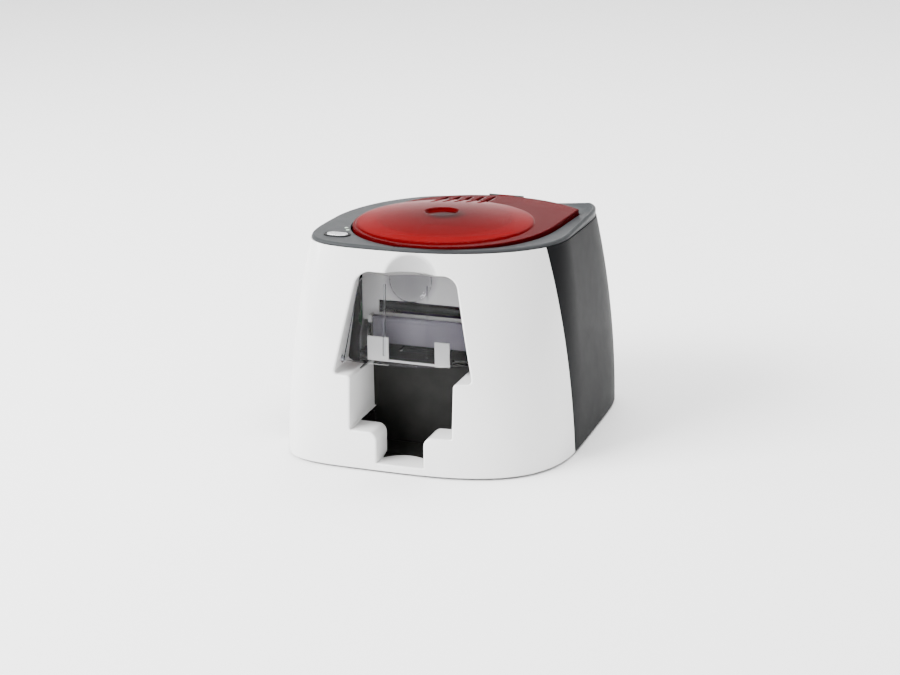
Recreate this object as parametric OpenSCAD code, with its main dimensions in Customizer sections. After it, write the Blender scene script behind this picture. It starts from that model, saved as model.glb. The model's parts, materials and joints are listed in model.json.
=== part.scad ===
// Desktop card printer: a wrapped two tone case with a leaf shaped lid, a clear card feeder
// over an open output hopper, and the roller line, print head and ribbon that work inside.
// Millimetres. X runs to the right, Y to the back and Z up, from the middle of the base.

/* [Case] */
// Width of the case at its foot
body_w = 237; // [210:1:290]
// Depth of the case at its foot
body_d = 250; // [225:1:300]
// Height of the rim at the front
rim_h = 184; // [176:1:225]
// Fall of the rim from front to back
rim_drop = 9; // [4:1:14]
// Wall of the outer covers
wall = 2.4; // [1.8:0.1:3.2]
// Thickness of the top bezel
bezel_t = 2.5; // [2:0.1:4]
// Gap left between neighbouring covers
seam = 0.3; // [0.2:0.05:0.5]
// Height of the rubber feet
foot_h = 3; // [2:0.5:6]
// Radius of a rubber foot
foot_r = 8; // [5:0.5:12]
// Thickness of the base tray
tray_t = 3; // [2:0.5:4]

/* [Card path] */
// Long side of a card, which lies across the machine
card_l = 85.6; // [80:0.1:90]
// Short side of a card, which lies along the machine
card_s = 54; // [50:0.1:58]
// Place of the card line from left to right
card_x = -4; // [-10:0.5:4]
// Height of the plane that the cards travel in
card_z = 86; // [82:0.5:90]
// Free width kept for the cards
card_play = 0.4; // [0.2:0.1:1.2]

/* [Feeder] */
// Half width of the feeder opening at its foot
feed_w0 = 56; // [52:0.5:60]
// Half width of the feeder opening near its top
feed_w1 = 38.5; // [32:0.5:44]
// Height of the foot of the feeder opening
feed_z0 = 79; // [76:0.5:82]
// Distance from the rim down to the top of the feeder opening
feed_drop = 22.5; // [18:0.5:30]
// Thickness of the clear feeder cover
glass_t = 2.2; // [1.6:0.1:3]
// Gap round the clear feeder cover
glass_gap = 0.6; // [0.4:0.1:1]
// Radius of the finger dish
dish_r = 21; // [16:0.5:24]
// Depth of the finger dish
dish_depth = 8; // [5:0.5:9]

/* [Hopper] */
// Half width of the output opening
out_w = 43; // [43:0.5:46]
// Height of the ledges beside the thumb slot
ledge_z = 34; // [28:1:44]
// Half width of the thumb slot
thumb_w = 20; // [15:0.5:24]
// Height of the hopper floor
floor_z = 8; // [7.5:0.5:12]
// Depth of the ledges and shoulders from front to back
ledge_d = 24; // [18:0.5:28]

/* [Rollers] */
// Radius of the transport rollers
roller_r = 6; // [5:0.1:6.5]
// Radius of the roller shafts
shaft_r = 3; // [2.5:0.1:3.5]
// Radius of the pinch rollers
pinch_r = 4; // [3:0.1:5]
// Gap between a roller and its pinch roller
card_t = 0.8; // [0.6:0.05:1.2]
// Radius of the toothed pulleys
pulley_r = 7; // [6:0.1:8]
// Running fit of shafts in their bushes
run_fit = 0.05; // [0.02:0.01:0.1]

/* [Chassis] */
// Thickness of the chassis side plates
plate_t = 1.6; // [1.2:0.1:3]
// Height of the top of the chassis side plates
plate_top = 152; // [146:1:156]
// Half of the clear width between the side plates
plate_in = 52; // [50:0.5:56]

/* [Ribbon] */
// Radius of the fresh ribbon on the supply spool
supply_r = 15; // [10:0.5:18]
// Radius of the used ribbon on the take-up spool
takeup_r = 12; // [9:0.5:16]
// Radius of the spool cores
core_r = 6; // [5:0.5:8]
// Distance from the plate tops down to the spool axes
spool_drop = 6; // [5:0.5:9]

/* [Lid] */
// Radius of the round part of the lid
lid_r = 80; // [70:0.5:81]
// Reach of the lid's tip beyond that radius
lid_tip = 37.5; // [24:0.5:39]
// Height of the lid's edge above the rim at the front
lid_proud = 1.5; // [1:0.1:3]
// Radius of the round dome on the lid
dome_r = 74; // [60:0.5:76]
// Height of the dome above its own edge
dome_h = 6; // [3:0.5:8]
// Gap between the lid and its seat
lid_gap = 0.7; // [0.5:0.1:1.2]
// Number of cooling slits in the lid
slits = 5; // [3:1:7]
// Pitch of the cooling slits
slit_pitch = 9.5; // [8:0.1:12]

/* [Button] */
// Half length of the push button
btn_l = 9; // [7:0.5:11]
// Half width of the push button
btn_w = 5; // [4:0.5:6]
// Travel of the push button
btn_travel = 1; // [0.6:0.1:1.4]

/* [Hidden] */
$fn = 48;

// Centre of the case outline, and its four half axes at the foot
case_x = -21.5;
case_y = -12;
axis_r = body_w / 2 - case_x;
axis_l = body_w / 2 + case_x;
axis_f = body_d / 2 + case_y;
axis_b = body_d / 2 - case_y;
// How far each side leans in between the foot and the rim
lean_r = 13.5;
lean_l = 17;
lean_f = 24.5;
lean_b = 26;
// Squareness of the four corners of the outline
pow_br = 7.5;
pow_bl = 1.9;
pow_fl = 5;
pow_fr = 3;
// Angles that part the covers, about the centre of the outline
split_left = 212;
split_right0 = 349.5;
split_right1 = 343;
split_rear_r = 52;
split_rear_l = 128;
// Level fractions of the lower and upper edges of the covers
level_lo = 2 / rim_h;
level_hi = 1 - bezel_t / (rim_h - rim_drop) - 0.001;
rim_slope = atan(rim_drop / body_d);
lid_slope = 1.15;
front_y0 = -body_d / 2;

// Height of the rim at a depth
function rim(y) = rim_h - rim_drop * (y - front_y0) / body_d;
// Half axes and squareness of the outline at a level fraction, by direction
function axis_x(t, s) = cos(t) >= 0 ? axis_r - lean_r * s * s : axis_l - lean_l * s * s;
function axis_y(t, s) = sin(t) >= 0 ? axis_b - lean_b * s * s : axis_f - lean_f * s * s;
function power(t, s) = sin(t) >= 0 ? (cos(t) >= 0 ? pow_br : pow_bl)
  : (cos(t) >= 0 ? pow_fr - 0.95 * s : pow_fl - 0.95 * s);
// Distance of the outline from its centre
function reach(t, s) = pow(pow(abs(cos(t)) / axis_x(t, s), power(t, s))
  + pow(abs(sin(t)) / axis_y(t, s), power(t, s)), -1 / power(t, s));
// A point of the case surface, set inward by off
function skin_xy(t, s, off) = [case_x + (reach(t, s) - off) * cos(t),
  case_y + (reach(t, s) - off) * sin(t)];
function skin(t, s, off) = let(p = skin_xy(t, s, off)) [p[0], p[1], s * rim(p[1])];
// Front of the case surface at a place and height
function front_y(x, z) = let(s = z / rim_h, t = x < case_x ? 225 : 315)
  case_y - axis_y(t, s) * pow(1 - pow(abs(x - case_x) / axis_x(t, s), power(t, s)),
  1 / power(t, s));
// Back of the case surface at a place and height
function back_y(x, z) = let(s = z / (rim_h - rim_drop), t = x < case_x ? 135 : 45)
  case_y + axis_y(t, s) * pow(1 - pow(abs(x - case_x) / axis_x(t, s), power(t, s)),
  1 / power(t, s));
function mix(a, b, k) = a + (b - a) * k;
// The six triangles' worth of a quad, split one way
function quad(a, b, c, d) = [[a, b, c], [a, c, d]];

// Closed piece of curved cover: angles t0..t1 at the foot and u0..u1 at the rim, levels
// s0..s1, set inward by off0 at the foot to off1 at the top, and thick walls deep
module cover(t0, t1, u0, u1, s0, s1, off0, off1, thick, nt, ns) {
  row = nt + 1;
  half = row * (ns + 1);
  pts = [for (side = [0, 1]) for (j = [0 : ns]) for (i = [0 : nt])
    let(s = mix(s0, s1, j / ns), t = mix(mix(t0, t1, i / nt), mix(u0, u1, i / nt), s))
    skin(t, s, mix(off0, off1, j / ns) + side * thick)];
  grid = [for (j = [0 : ns - 1]) for (i = [0 : nt - 1])
    let(a = j * row + i, b = a + 1, d = a + row, c = d + 1)
    each concat(quad(a, d, c, b), quad(half + a, half + b, half + c, half + d))];
  ends = [for (i = [0 : nt - 1]) let(a = i, b = i + 1, d = ns * row + i, c = d + 1)
    each concat(quad(a, b, half + b, half + a), quad(c, d, half + d, half + c))];
  sides = [for (j = [0 : ns - 1])
    let(a = j * row, d = a + row, b = a + nt, c = d + nt)
    each concat(quad(d, a, half + a, half + d), quad(b, c, half + c, half + b))];
  polyhedron(points = pts, faces = concat(grid, ends, sides), convexity = 8);
}

// A profile in depth and height, drawn out along X from x0
module along_x(x0, width) {
  translate([x0, 0, 0]) rotate([90, 0, 90]) linear_extrude(width) children();
}
// A profile in width and height, drawn out along Y from y0
module along_y(y0, depth) {
  translate([0, y0 + depth, 0]) rotate([90, 0, 0]) linear_extrude(depth) children();
}
// A round bar along X from x0
module bar_x(x0, width, y, z, r) {
  translate([x0, y, z]) rotate([0, 90, 0]) cylinder(r = r, h = width);
}
// A block given by its low corner and its high corner
module block(lo, hi) {
  translate(lo) cube(hi - lo);
}
// Drawn in plan on the plane of the rim, and on the plane of the lid
module on_rim() {
  translate([0, front_y0, rim_h]) rotate([-rim_slope, 0, 0]) translate([0, -front_y0, 0])
    children();
}
module on_lid() {
  translate([0, front_y0, rim_h + lid_proud]) rotate([-lid_slope, 0, 0])
    translate([0, -front_y0, 0]) children();
}
// A slot with round ends along X
module pill(l, w, h) {
  linear_extrude(h) {
    translate([-l + w, 0]) circle(w);
    translate([l - w, 0]) circle(w);
    square([2 * (l - w), 2 * w], center = true);
  }
}

// Plan outline of the case at a level fraction, set inward by off
module case_outline(s, off) {
  polygon([for (t = [0 : 5 : 355]) skin_xy(t, s, off)]);
}

// Lid outline: a circle drawn out to a tip at the back right
lid_x = 2;
lid_y = -15;
tip_at = 41;
function lid_reach(t) = let(d = t - tip_at, e = d < 0 ? -d : d)
  lid_r + lid_tip * (d < 0 ? exp(-e / 19) : pow(max(0, 1 - e / 100), 0.72));
module lid_outline(off) {
  polygon([for (t = concat([for (k = [-179 : 6 : 35]) k], [38.5, tip_at, 44],
    [for (k = [48 : 6 : 178]) k]))
    [lid_x + (lid_reach(t) + off) * cos(t), lid_y + (lid_reach(t) + off) * sin(t)]]);
}
lid_back = lid_y + lid_reach(82) * sin(82);

// Outline of the feeder opening, grown by off, and the profile of the output opening
feed_top = rim_h - feed_drop;
module feeder_outline(off) {
  k = (feed_w0 - feed_w1) / (feed_top - feed_z0);
  polygon([[card_x - feed_w0 - off, feed_z0 - off], [card_x + feed_w0 + off, feed_z0 - off],
    [card_x + feed_w1 + k * 10 + off, feed_top - 10],
    [card_x + feed_w1 - 2 + off, feed_top - 3 + off * 0.7],
    [card_x + feed_w1 - 9, feed_top + off], [card_x - feed_w1 + 9, feed_top + off],
    [card_x - feed_w1 + 2 - off, feed_top - 3 + off * 0.7],
    [card_x - feed_w1 - k * 10 - off, feed_top - 10]]);
}
module hopper_outline() {
  translate([card_x - out_w, ledge_z]) square([2 * out_w, feed_z0 - ledge_z + 1]);
  translate([card_x - thumb_w, floor_z]) square([2 * thumb_w, ledge_z - floor_z + 1]);
}

// Finger dish: centre of its sphere, in front of the case
dish_z = feed_top - 3;
dish_x = 0;
dish_ball = (dish_r * dish_r + dish_depth * dish_depth) / (2 * dish_depth);
dish_out = dish_ball - dish_depth;
dish_face = front_y(dish_x, dish_z);
// Way that the case surface faces at the dish: turned to the right, and leaning back
dish_turn = atan(front_y(dish_x + 1, dish_z) - dish_face);
dish_lean = atan(front_y(dish_x, dish_z + 1) - dish_face);
module at_dish() {
  translate([dish_x, dish_face, dish_z]) rotate([0, 0, dish_turn]) rotate([-dish_lean, 0, 0])
    translate([0, -dish_out, 0]) children();
}
// The bowl behind the dish, from deep to deeper than the skin
module dish_bowl(skin_t, from) {
  difference() {
    at_dish() intersection() {
      sphere(dish_ball + skin_t, $fn = 64);
      rotate([-90, 0, 0]) translate([0, 0, dish_out + from])
        cylinder(r = dish_ball, h = dish_ball);
    }
    at_dish() sphere(dish_ball, $fn = 64);
  }
}

// Clear feeder cover: a leaning round shell, turned a little to the right
glass_r = 142;
glass_lean = 4.3;
glass_turn = 8.3;
glass_x = card_x - 24.5;
glass_y = front_y(card_x, feed_z0) + 9.5 + glass_r;
glass_z0 = feed_z0 + 3.5;
pin_r = 2;
hinge_z = glass_z0 + 5;
// The hinge line, through a point above the middle of the opening
hinge_y = glass_y - glass_r + 14;
function hinge_at(x) = hinge_y + (x - card_x) * tan(glass_turn);
module glass_shell(inset, thick) {
  translate([glass_x, glass_y, feed_z0]) rotate([-glass_lean, 0, 0])
    translate([0, 0, -20]) difference() {
      cylinder(r = glass_r - inset, h = 130, $fn = 96);
      translate([0, 0, -1]) cylinder(r = glass_r - inset - thick, h = 132, $fn = 96);
    }
}
module on_hinge(x) {
  translate([x, hinge_at(x), hinge_z]) rotate([0, 0, glass_turn]) rotate([0, 90, 0])
    children();
}

// Return of the front cover: a plate in depth and height, from the skin back to yb
module side_return(x0, z0, z1, yb) {
  xs = x0 + (x0 < case_x ? 0 : wall);
  along_x(x0, wall) polygon(concat([[yb, z1], [yb, z0]],
    [for (k = [0 : 3]) let(z = mix(z0, z1, k / 3)) [front_y(xs, z) + wall / 2, z]]));
}
// A level plate under z, from the skin back by ledge_d
module level_return(x0, x1, z, thick) {
  yb = front_y((x0 + x1) / 2, z) + ledge_d;
  translate([0, 0, z - thick]) linear_extrude(thick) polygon(concat([[x1, yb], [x0, yb]],
    [for (k = [0 : 5]) let(x = mix(x0, x1, k / 5)) [x, front_y(x, z) + wall / 2]]));
}
hopper_back = -69;
cheek_l = card_x - feed_w0 - 3.6;
cheek_r = card_x + feed_w0 + 1.6;

// White front cover with its stepped opening
module front_cover() {
  color([0.94, 0.94, 0.93]) {
    difference() {
      cover(split_left, split_right0, split_left, split_right1, level_lo, level_hi, 0, 0,
        wall, 48, 12);
      along_y(front_y0 - 5, 60) feeder_outline(1.4);
      along_y(front_y0 - 5, 60) hopper_outline();
      at_dish() sphere(dish_ball, $fn = 64);
    }
    for (m = [-1, 1]) {
      xi = card_x + m * out_w - (m < 0 ? wall : 0);
      side_return(xi, ledge_z - wall, feed_z0 - wall, hopper_back);
      side_return(card_x + m * thumb_w - (m < 0 ? wall : 0), floor_z - 0.9, ledge_z - wall,
        front_y(card_x, ledge_z) + ledge_d);
      level_return(m < 0 ? xi : card_x + thumb_w, m < 0 ? card_x - thumb_w : xi + wall,
        ledge_z, wall);
      level_return(m < 0 ? cheek_l : xi, m < 0 ? xi + wall : cheek_r + wall, feed_z0,
        wall);
    }
    for (x = [cheek_l, cheek_r]) {
      difference() {
        block([x, hinge_at(x) - 8, feed_z0 - wall / 2], [x + 2, hinge_at(x) + 8,
          hinge_z + 6]);
        on_hinge(x - 3) cylinder(r = pin_r + run_fit, h = 10);
      }
    }
    intersection() {
      translate([0, 0, floor_z - 0.9]) linear_extrude(0.9)
        polygon(concat([[card_x + thumb_w, -90], [card_x - thumb_w, -90]],
          [for (k = [0 : 5]) let(x = mix(card_x - thumb_w, card_x + thumb_w, k / 5))
          [x, front_y(x, floor_z) + wall / 2]]));
      translate([card_x + 1, front_y(card_x, floor_z) - 1, 0])
        cylinder(r = ledge_d + 1, h = floor_z + 5);
    }
  }
}

// Cup behind the upper half of the finger dish
module dish_cup() {
  deep = dish_out + wall + 1.5;
  low = (feed_top + 0.3 - dish_z + (dish_depth + wall) * sin(dish_lean)) / cos(dish_lean);
  inner = acos(deep / dish_ball);
  outer = acos(deep / (dish_ball + wall));
  color([0.94, 0.94, 0.93]) at_dish() difference() {
    rotate([-90, 0, 0]) rotate_extrude($fn = 64) polygon(concat(
      [for (k = [0 : 6]) dish_ball * [sin(k * inner / 6), cos(k * inner / 6)]],
      [for (k = [6 : -1 : 0]) (dish_ball + wall) * [sin(k * outer / 6),
      cos(k * outer / 6)]]));
    translate([-60, 0, low - 120]) cube([120, 60, 120]);
  }
}

half_seam = 0.09;
module right_side_panel() {
  color([0.22, 0.22, 0.24])
    cover(split_right0 - 360 + half_seam, split_rear_r - half_seam,
      split_right1 - 360 + half_seam, split_rear_r - half_seam, level_lo, level_hi, 0, 0,
      wall, 26, 10);
}
module left_side_panel() {
  color([0.22, 0.22, 0.24])
    cover(split_rear_l + half_seam, split_left - half_seam, split_rear_l + half_seam,
      split_left - half_seam, level_lo, level_hi, 0, 0, wall, 24, 10);
}

// Sockets stand on a small board behind the rear cover
usb_x = 4;
inlet_x = 38;
sock_z = 26;
usb_w = 12;
usb_h = 11;
inlet_w = 27;
inlet_h = 20;
sock_y = back_y(inlet_x, sock_z + inlet_h) - 0.4;
grille_w = 3;
module rear_cover() {
  color([0.22, 0.22, 0.24]) difference() {
    cover(split_rear_r + half_seam, split_rear_l - half_seam, split_rear_r + half_seam,
      split_rear_l - half_seam, level_lo, level_hi, 0, 0, wall, 22, 10);
    block([usb_x - 0.4, 80, sock_z - 0.4], [usb_x + usb_w + 0.4, 140, sock_z + usb_h + 0.4]);
    block([inlet_x - 0.4, 80, sock_z - 0.4],
      [inlet_x + inlet_w + 0.4, 140, sock_z + inlet_h + 0.4]);
    for (k = [0 : 7])
      block([-20 + k * 9, 70, 90], [-20 + k * 9 + grille_w, 140, 130]);
  }
}
module socket(x, w, h, cav_w, cav_h) {
  difference() {
    block([x, sock_y - 18, sock_z], [x + w, sock_y, sock_z + h]);
    block([x + (w - cav_w) / 2, sock_y - 14, sock_z + (h - cav_h) / 2],
      [x + (w + cav_w) / 2, sock_y + 1, sock_z + (h + cav_h) / 2]);
  }
}
tray_top = foot_h + tray_t;
module rear_sockets() {
  color([0.12, 0.12, 0.13]) {
    socket(usb_x, usb_w, usb_h, 8.4, 7.6);
    socket(inlet_x, inlet_w, inlet_h, 22, 15);
    block([usb_x - 6, sock_y - 19.6, tray_top], [inlet_x + inlet_w + 5, sock_y - 18,
      sock_z + 26]);
  }
}

// Top bezel with the seat of the lid
btn_x = -74;
btn_y = -73;
lamp_at = [[-72, -56], [-76, -49]];
module top_bezel() {
  color([0.3, 0.3, 0.32]) difference() {
    on_rim() {
      difference() {
        translate([0, 0, -bezel_t]) linear_extrude(bezel_t) case_outline(1, 0);
        translate([0, 0, -20]) linear_extrude(40) lid_outline(lid_gap);
        translate([btn_x, btn_y, -20]) pill(btn_l + 2.4, btn_w + 2.4, 40);
        for (p = lamp_at)
          translate([p[0], p[1], -20]) cylinder(r = 1.5, h = 40);
      }
    }
    at_dish() sphere(dish_ball + 0.2, $fn = 64);
  }
}
module base_tray() {
  color([0.2, 0.2, 0.21]) difference() {
    translate([0, 0, foot_h]) linear_extrude(tray_t) case_outline(level_lo, wall + 0.6);
    for (k = [0 : 8])
      block([-30 + k * 8, 20, 0], [-26 + k * 8, 70, tray_top + 1]);
  }
}
feet_at = [[-body_w / 2 + 33, -body_d / 2 + 42], [body_w / 2 - 43, -body_d / 2 + 45],
  [-body_w / 2 + 43, body_d / 2 - 45], [body_w / 2 - 30, body_d / 2 - 30]];
module rubber_feet() {
  color([0.08, 0.08, 0.08])
    for (p = feet_at)
      translate([p[0], p[1], 0]) cylinder(r = foot_r, h = foot_h);
}

// Lid, dome and its hinge
lid_t = 2.4;
skirt = 7;
dome_x = -2;
dome_y = -14;
hub_x = -8;
hub_y = -6;
ring_r = 55;
knuckle_r = 2.3;
knuckle_y = lid_back + 3.4;
knuckle_x = 16;
knuckle_w = 14;
hinge_pin_r = 1.1;
knuckle_z = rim(knuckle_y) + knuckle_r + 0.3;
dome_ball = (dome_r * dome_r + dome_h * dome_h) / (2 * dome_h);
slit_l = 30;
module lid_slits() {
  for (k = [0 : slits - 1])
    translate([-29 + k * slit_pitch, 56 + k * 2.9, -10]) rotate([0, 0, -4])
      translate([-1.5, -slit_l / 2, 0]) cube([3, slit_l, 40]);
}
module lid_plate() {
  color([0.6, 0.08, 0.1, 0.7]) {
    on_lid() difference() {
      union() {
        translate([0, 0, -lid_t]) linear_extrude(lid_t) lid_outline(0);
        translate([0, 0, -skirt]) linear_extrude(skirt) difference() {
          lid_outline(0);
          lid_outline(-2.2);
        }
      }
      translate([dome_x, dome_y, -20]) cylinder(r = dome_r - 1.5, h = 40, $fn = 96);
      lid_slits();
    }
    difference() {
      union() {
        bar_x(knuckle_x - knuckle_w / 2, knuckle_w, knuckle_y, knuckle_z, knuckle_r);
        block([knuckle_x - knuckle_w / 2, lid_back - 2, knuckle_z - 1],
          [knuckle_x + knuckle_w / 2, knuckle_y, knuckle_z + 1]);
      }
      bar_x(knuckle_x - 20, 40, knuckle_y, knuckle_z, hinge_pin_r + run_fit);
    }
  }
}
// Hook under the front of the lid, for the catch
function lid_under(y) = rim_h + lid_proud - (y - front_y0) * tan(lid_slope) - lid_t / cos(lid_slope);
module lid_hook() {
  color([0.6, 0.08, 0.1, 0.7]) difference() {
    union() {
      block([catch_x - 3, catch_y - 1.2, catch_z - 1.5], [catch_x + 3, catch_y + 1.2,
        lid_under(catch_y + 1.2)]);
      block([catch_x - 3, catch_y - 2.6, catch_z - 1.5], [catch_x + 3, catch_y - 1,
        catch_z + 0.5]);
    }
    on_lid() translate([0, 0, -skirt - 0.1]) linear_extrude(skirt + 5) difference() {
      lid_outline(3);
      lid_outline(-2.25);
    }
  }
}
module lid_dome() {
  color([0.7, 0.1, 0.12, 0.7]) on_lid() difference() {
    translate([dome_x, dome_y, 1 + dome_h - dome_ball]) difference() {
      intersection() {
        sphere(dome_ball, $fn = 192);
        translate([0, 0, dome_ball - dome_h - 1]) cylinder(r = dome_r, h = 30, $fn = 96);
      }
      sphere(dome_ball - lid_t, $fn = 192);
    }
    translate([hub_x, hub_y, dome_h + 65.2]) sphere(66, $fn = 96);
    lid_slits();
  }
}
module lid_inner_ring() {
  color([0.35, 0.05, 0.06]) on_lid() translate([dome_x, dome_y, dome_h - 8.8])
    difference() {
      cylinder(r = ring_r, h = 3.6, $fn = 96);
      translate([0, 0, -1]) cylinder(r = ring_r - 3, h = 8, $fn = 96);
    }
}
module hinge_bracket() {
  color([0.24, 0.24, 0.26]) difference() {
    union() {
      for (x = [knuckle_x - knuckle_w / 2 - 8.4, knuckle_x + knuckle_w / 2 + 0.4]) {
        bar_x(x, 8, knuckle_y, knuckle_z, knuckle_r);
        block([x, knuckle_y - 1.4, rim(knuckle_y - 1.4)], [x + 8, knuckle_y + 1.4,
          knuckle_z]);
      }
    }
    bar_x(knuckle_x - 30, 60, knuckle_y, knuckle_z, hinge_pin_r);
  }
}
module lid_hinge_pin() {
  color([0.75, 0.75, 0.76])
    bar_x(knuckle_x - knuckle_w / 2 - 8, knuckle_w + 16, knuckle_y, knuckle_z,
      hinge_pin_r);
}

// Sprung catch in front of the lid's hook
catch_x = -38;
catch_y = lid_y - sqrt(lid_r * lid_r - (catch_x - lid_x) * (catch_x - lid_x)) + 4;
catch_z = rim(catch_y) - 9;
guide_y = catch_y - 15;
module lid_catch() {
  color([0.15, 0.15, 0.16]) {
    block([catch_x - 5, catch_y - 9, catch_z + 0.8], [catch_x + 5, catch_y - 2.9,
      catch_z + 3.6]);
    block([catch_x - 2, guide_y - 1, catch_z + 1.3], [catch_x + 2, catch_y - 9,
      catch_z + 3.1]);
  }
}
module catch_guide() {
  color([0.22, 0.22, 0.24]) {
    difference() {
      block([catch_x - 8, guide_y + 0.6, catch_z - 2], [catch_x + 8, guide_y + 3,
        rim(guide_y) - bezel_t - 0.2]);
      block([catch_x - 2.3, guide_y - 3, catch_z + 1], [catch_x + 2.3, guide_y + 6,
        catch_z + 3.4]);
    }
    block([catch_x - 8, guide_y + 0.6, catch_z - 2.4], [catch_x + 8, catch_y - 4,
      catch_z + 0.4]);
  }
}

// Clear feeder cover, with ribs, lugs and the lower half of the finger dish
module feeder_cover() {
  color([0.85, 0.87, 0.9, 0.45]) {
    difference() {
      intersection() {
        glass_shell(0, glass_t);
        along_y(front_y0, 100) feeder_outline(-glass_gap);
        along_y(front_y0, 100) translate([-0.5, 0]) feeder_outline(-glass_gap);
        union() {
          block([-100, -150, glass_z0], [100, -60, feed_top]);
          block([card_x - out_w + 3.8, -150, feed_z0 + 1.2], [card_x + out_w - 1.2, -60,
            feed_top]);
        }
      }
      at_dish() sphere(dish_ball, $fn = 64);
      pin_bores();
    }
    intersection() {
      dish_bowl(glass_t, -1);
      block([-40, -140, feed_top - 30], [40, -60, feed_top - glass_gap]);
      glass_inner();
    }
    for (x = [card_x - 18, card_x + 16.5])
      intersection() {
        glass_shell(glass_t - 0.2, 2.2);
        block([x - 1, -150, glass_z0 + 2], [x + 1, -60, feed_top - 18]);
      }
    for (x = [cheek_l + 5, cheek_r - 5])
      difference() {
        intersection() {
          on_hinge(x - 1.2) cylinder(r = 3.6, h = 2.4);
          glass_inner();
        }
        pin_bores();
      }
  }
}
module pin_bores() {
  for (x = [cheek_l - 1, cheek_r - 7])
    on_hinge(x) cylinder(r = pin_r + run_fit, h = 9);
}
// The space behind the outer face of the clear cover
module glass_inner() {
  translate([glass_x, glass_y, feed_z0]) rotate([-glass_lean, 0, 0])
    translate([0, 0, -30]) cylinder(r = glass_r - 0.4, h = 150, $fn = 96);
}
module feeder_cover_pins() {
  color([0.75, 0.75, 0.76]) {
    on_hinge(cheek_l + 0.2) cylinder(r = pin_r, h = 6);
    on_hinge(cheek_r - 5) cylinder(r = pin_r, h = 6.6);
  }
}

// Feeder behind the clear cover
stack_front = -91;
stack_back = stack_front + card_s + card_play;
feed_y = -60;
front_y_axis = -28;
clean_y = -16.5;
platen_y = 14;
rear_y = 58;
axis_z = card_z - roller_r;
lip_w = 38;
back_y0 = -66;
module feeder_lip() {
  color([0.9, 0.9, 0.9]) difference() {
    block([card_x - lip_w, stack_front - 1.8, card_z - 1.4], [card_x + lip_w - 5.5,
      stack_front - 0.4, card_z + 19]);
    block([card_x - thumb_w, stack_front - 9, card_z + 0.2], [card_x + thumb_w,
      stack_front + 9, card_z + 40]);
  }
}
module feeder_tray() {
  g = card_l / 2 + card_play;
  color([0.75, 0.75, 0.77]) {
    difference() {
      block([card_x - plate_in, stack_front - 0.4, card_z - 2.4], [card_x + plate_in,
        stack_back, card_z - 0.4]);
      block([card_x - 22, feed_y - roller_r - 2, card_z - 10], [card_x + 22,
        feed_y + roller_r + 2, card_z + 1]);
      block([card_x - plate_in - 1, stack_front - 9, card_z - 10], [card_x - 46,
        stack_front + 16, card_z + 1]);
      block([card_x + 30, stack_front - 9, card_z - 10], [card_x + plate_in + 1,
        stack_front + 16, card_z + 1]);
    }
    for (x = [card_x - g - 2, card_x + g])
      block([x, stack_front + 17, card_z - 2.4], [x + 2, back_y0 - 5, card_z + 22]);
  }
}
flap_z = card_z + 27;
flap_y = back_y0 - 4;
flap_w = 41;
module feeder_back() {
  color([0.8, 0.8, 0.82]) difference() {
    union() {
      block([card_x - plate_in, back_y0, card_z + 24], [card_x + plate_in, back_y0 + 2,
        feed_top - 2]);
      for (x = [card_x - flap_w - 4, card_x + flap_w + 1])
        block([x, flap_y - 3, flap_z - 3], [x + 3, back_y0 + 1, flap_z + 3]);
    }
    block([card_x - 38, back_y0 - 9, card_z + 31], [card_x + 38, back_y0 + 9,
      card_z + 42]);
    bar_x(card_x - 60, 120, flap_y, flap_z, 1.5);
  }
}
module flap_pin() {
  color([0.75, 0.75, 0.76])
    bar_x(card_x - flap_w - 4, 2 * flap_w + 8, flap_y, flap_z, 1.5);
}
module card_flap() {
  color([0.5, 0.48, 0.55]) difference() {
    union() {
      bar_x(card_x - flap_w, 2 * flap_w, flap_y, flap_z, 2.8);
      block([card_x - flap_w, flap_y - 2.4, flap_z - 20], [card_x + flap_w, flap_y - 0.6,
        flap_z]);
    }
    bar_x(card_x - 60, 120, flap_y, flap_z, 1.5 + run_fit);
  }
}

// Output hopper behind the stepped opening
module output_hopper() {
  color([0.1, 0.1, 0.11]) {
    block([card_x - out_w - 6, hopper_back, tray_top], [card_x + out_w + 6,
      hopper_back + 2, card_z - 7]);
    block([card_x - out_w - 1.6, -97, tray_top], [card_x + out_w + 1.6, hopper_back,
      floor_z - 1]);
    for (x = [card_x - out_w - wall, card_x + out_w])
      block([x, -97, tray_top], [x + wall, hopper_back, ledge_z - wall - 0.2]);
  }
}

// Push button with its ring, board and lamps
module push_button() {
  color([0.8, 0.8, 0.82]) on_rim() translate([btn_x, btn_y, 0]) {
    translate([0, 0, -3]) pill(btn_l, btn_w, 4.2);
    translate([0, 0, -9]) cylinder(r = 2, h = 8);
  }
}
module button_ring() {
  color([0.1, 0.1, 0.11]) on_rim() translate([btn_x, btn_y, 0]) {
    difference() {
      translate([0, 0, -6]) pill(btn_l + 2.4, btn_w + 2.4, 6.8);
      translate([0, 0, -4.5]) pill(btn_l + run_fit + 0.25, btn_w + run_fit + 0.25, 10);
      translate([0, 0, -20]) cylinder(r = 2 + run_fit, h = 40);
    }
  }
}
module button_board() {
  color([0.1, 0.35, 0.16]) on_rim() difference() {
    union() {
      translate([btn_x - 10, btn_y - 8, -14]) cube([22, 34, 1.6]);
      translate([btn_x - 3, btn_y - 3, -12.4]) cube([6, 6, 2.1]);
      for (p = [[-9, 12], [2.2, 11]])
        translate([btn_x + p[0], btn_y + p[1], -12.4]) cylinder(r = 1.5,
          h = 12.2 - bezel_t);
    }
  }
}
module status_lamps() {
  color([0.3, 0.8, 0.4]) on_rim()
    for (p = lamp_at)
      translate([p[0], p[1], -12.4]) cylinder(r = 1.5, h = 12.7);
}

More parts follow.
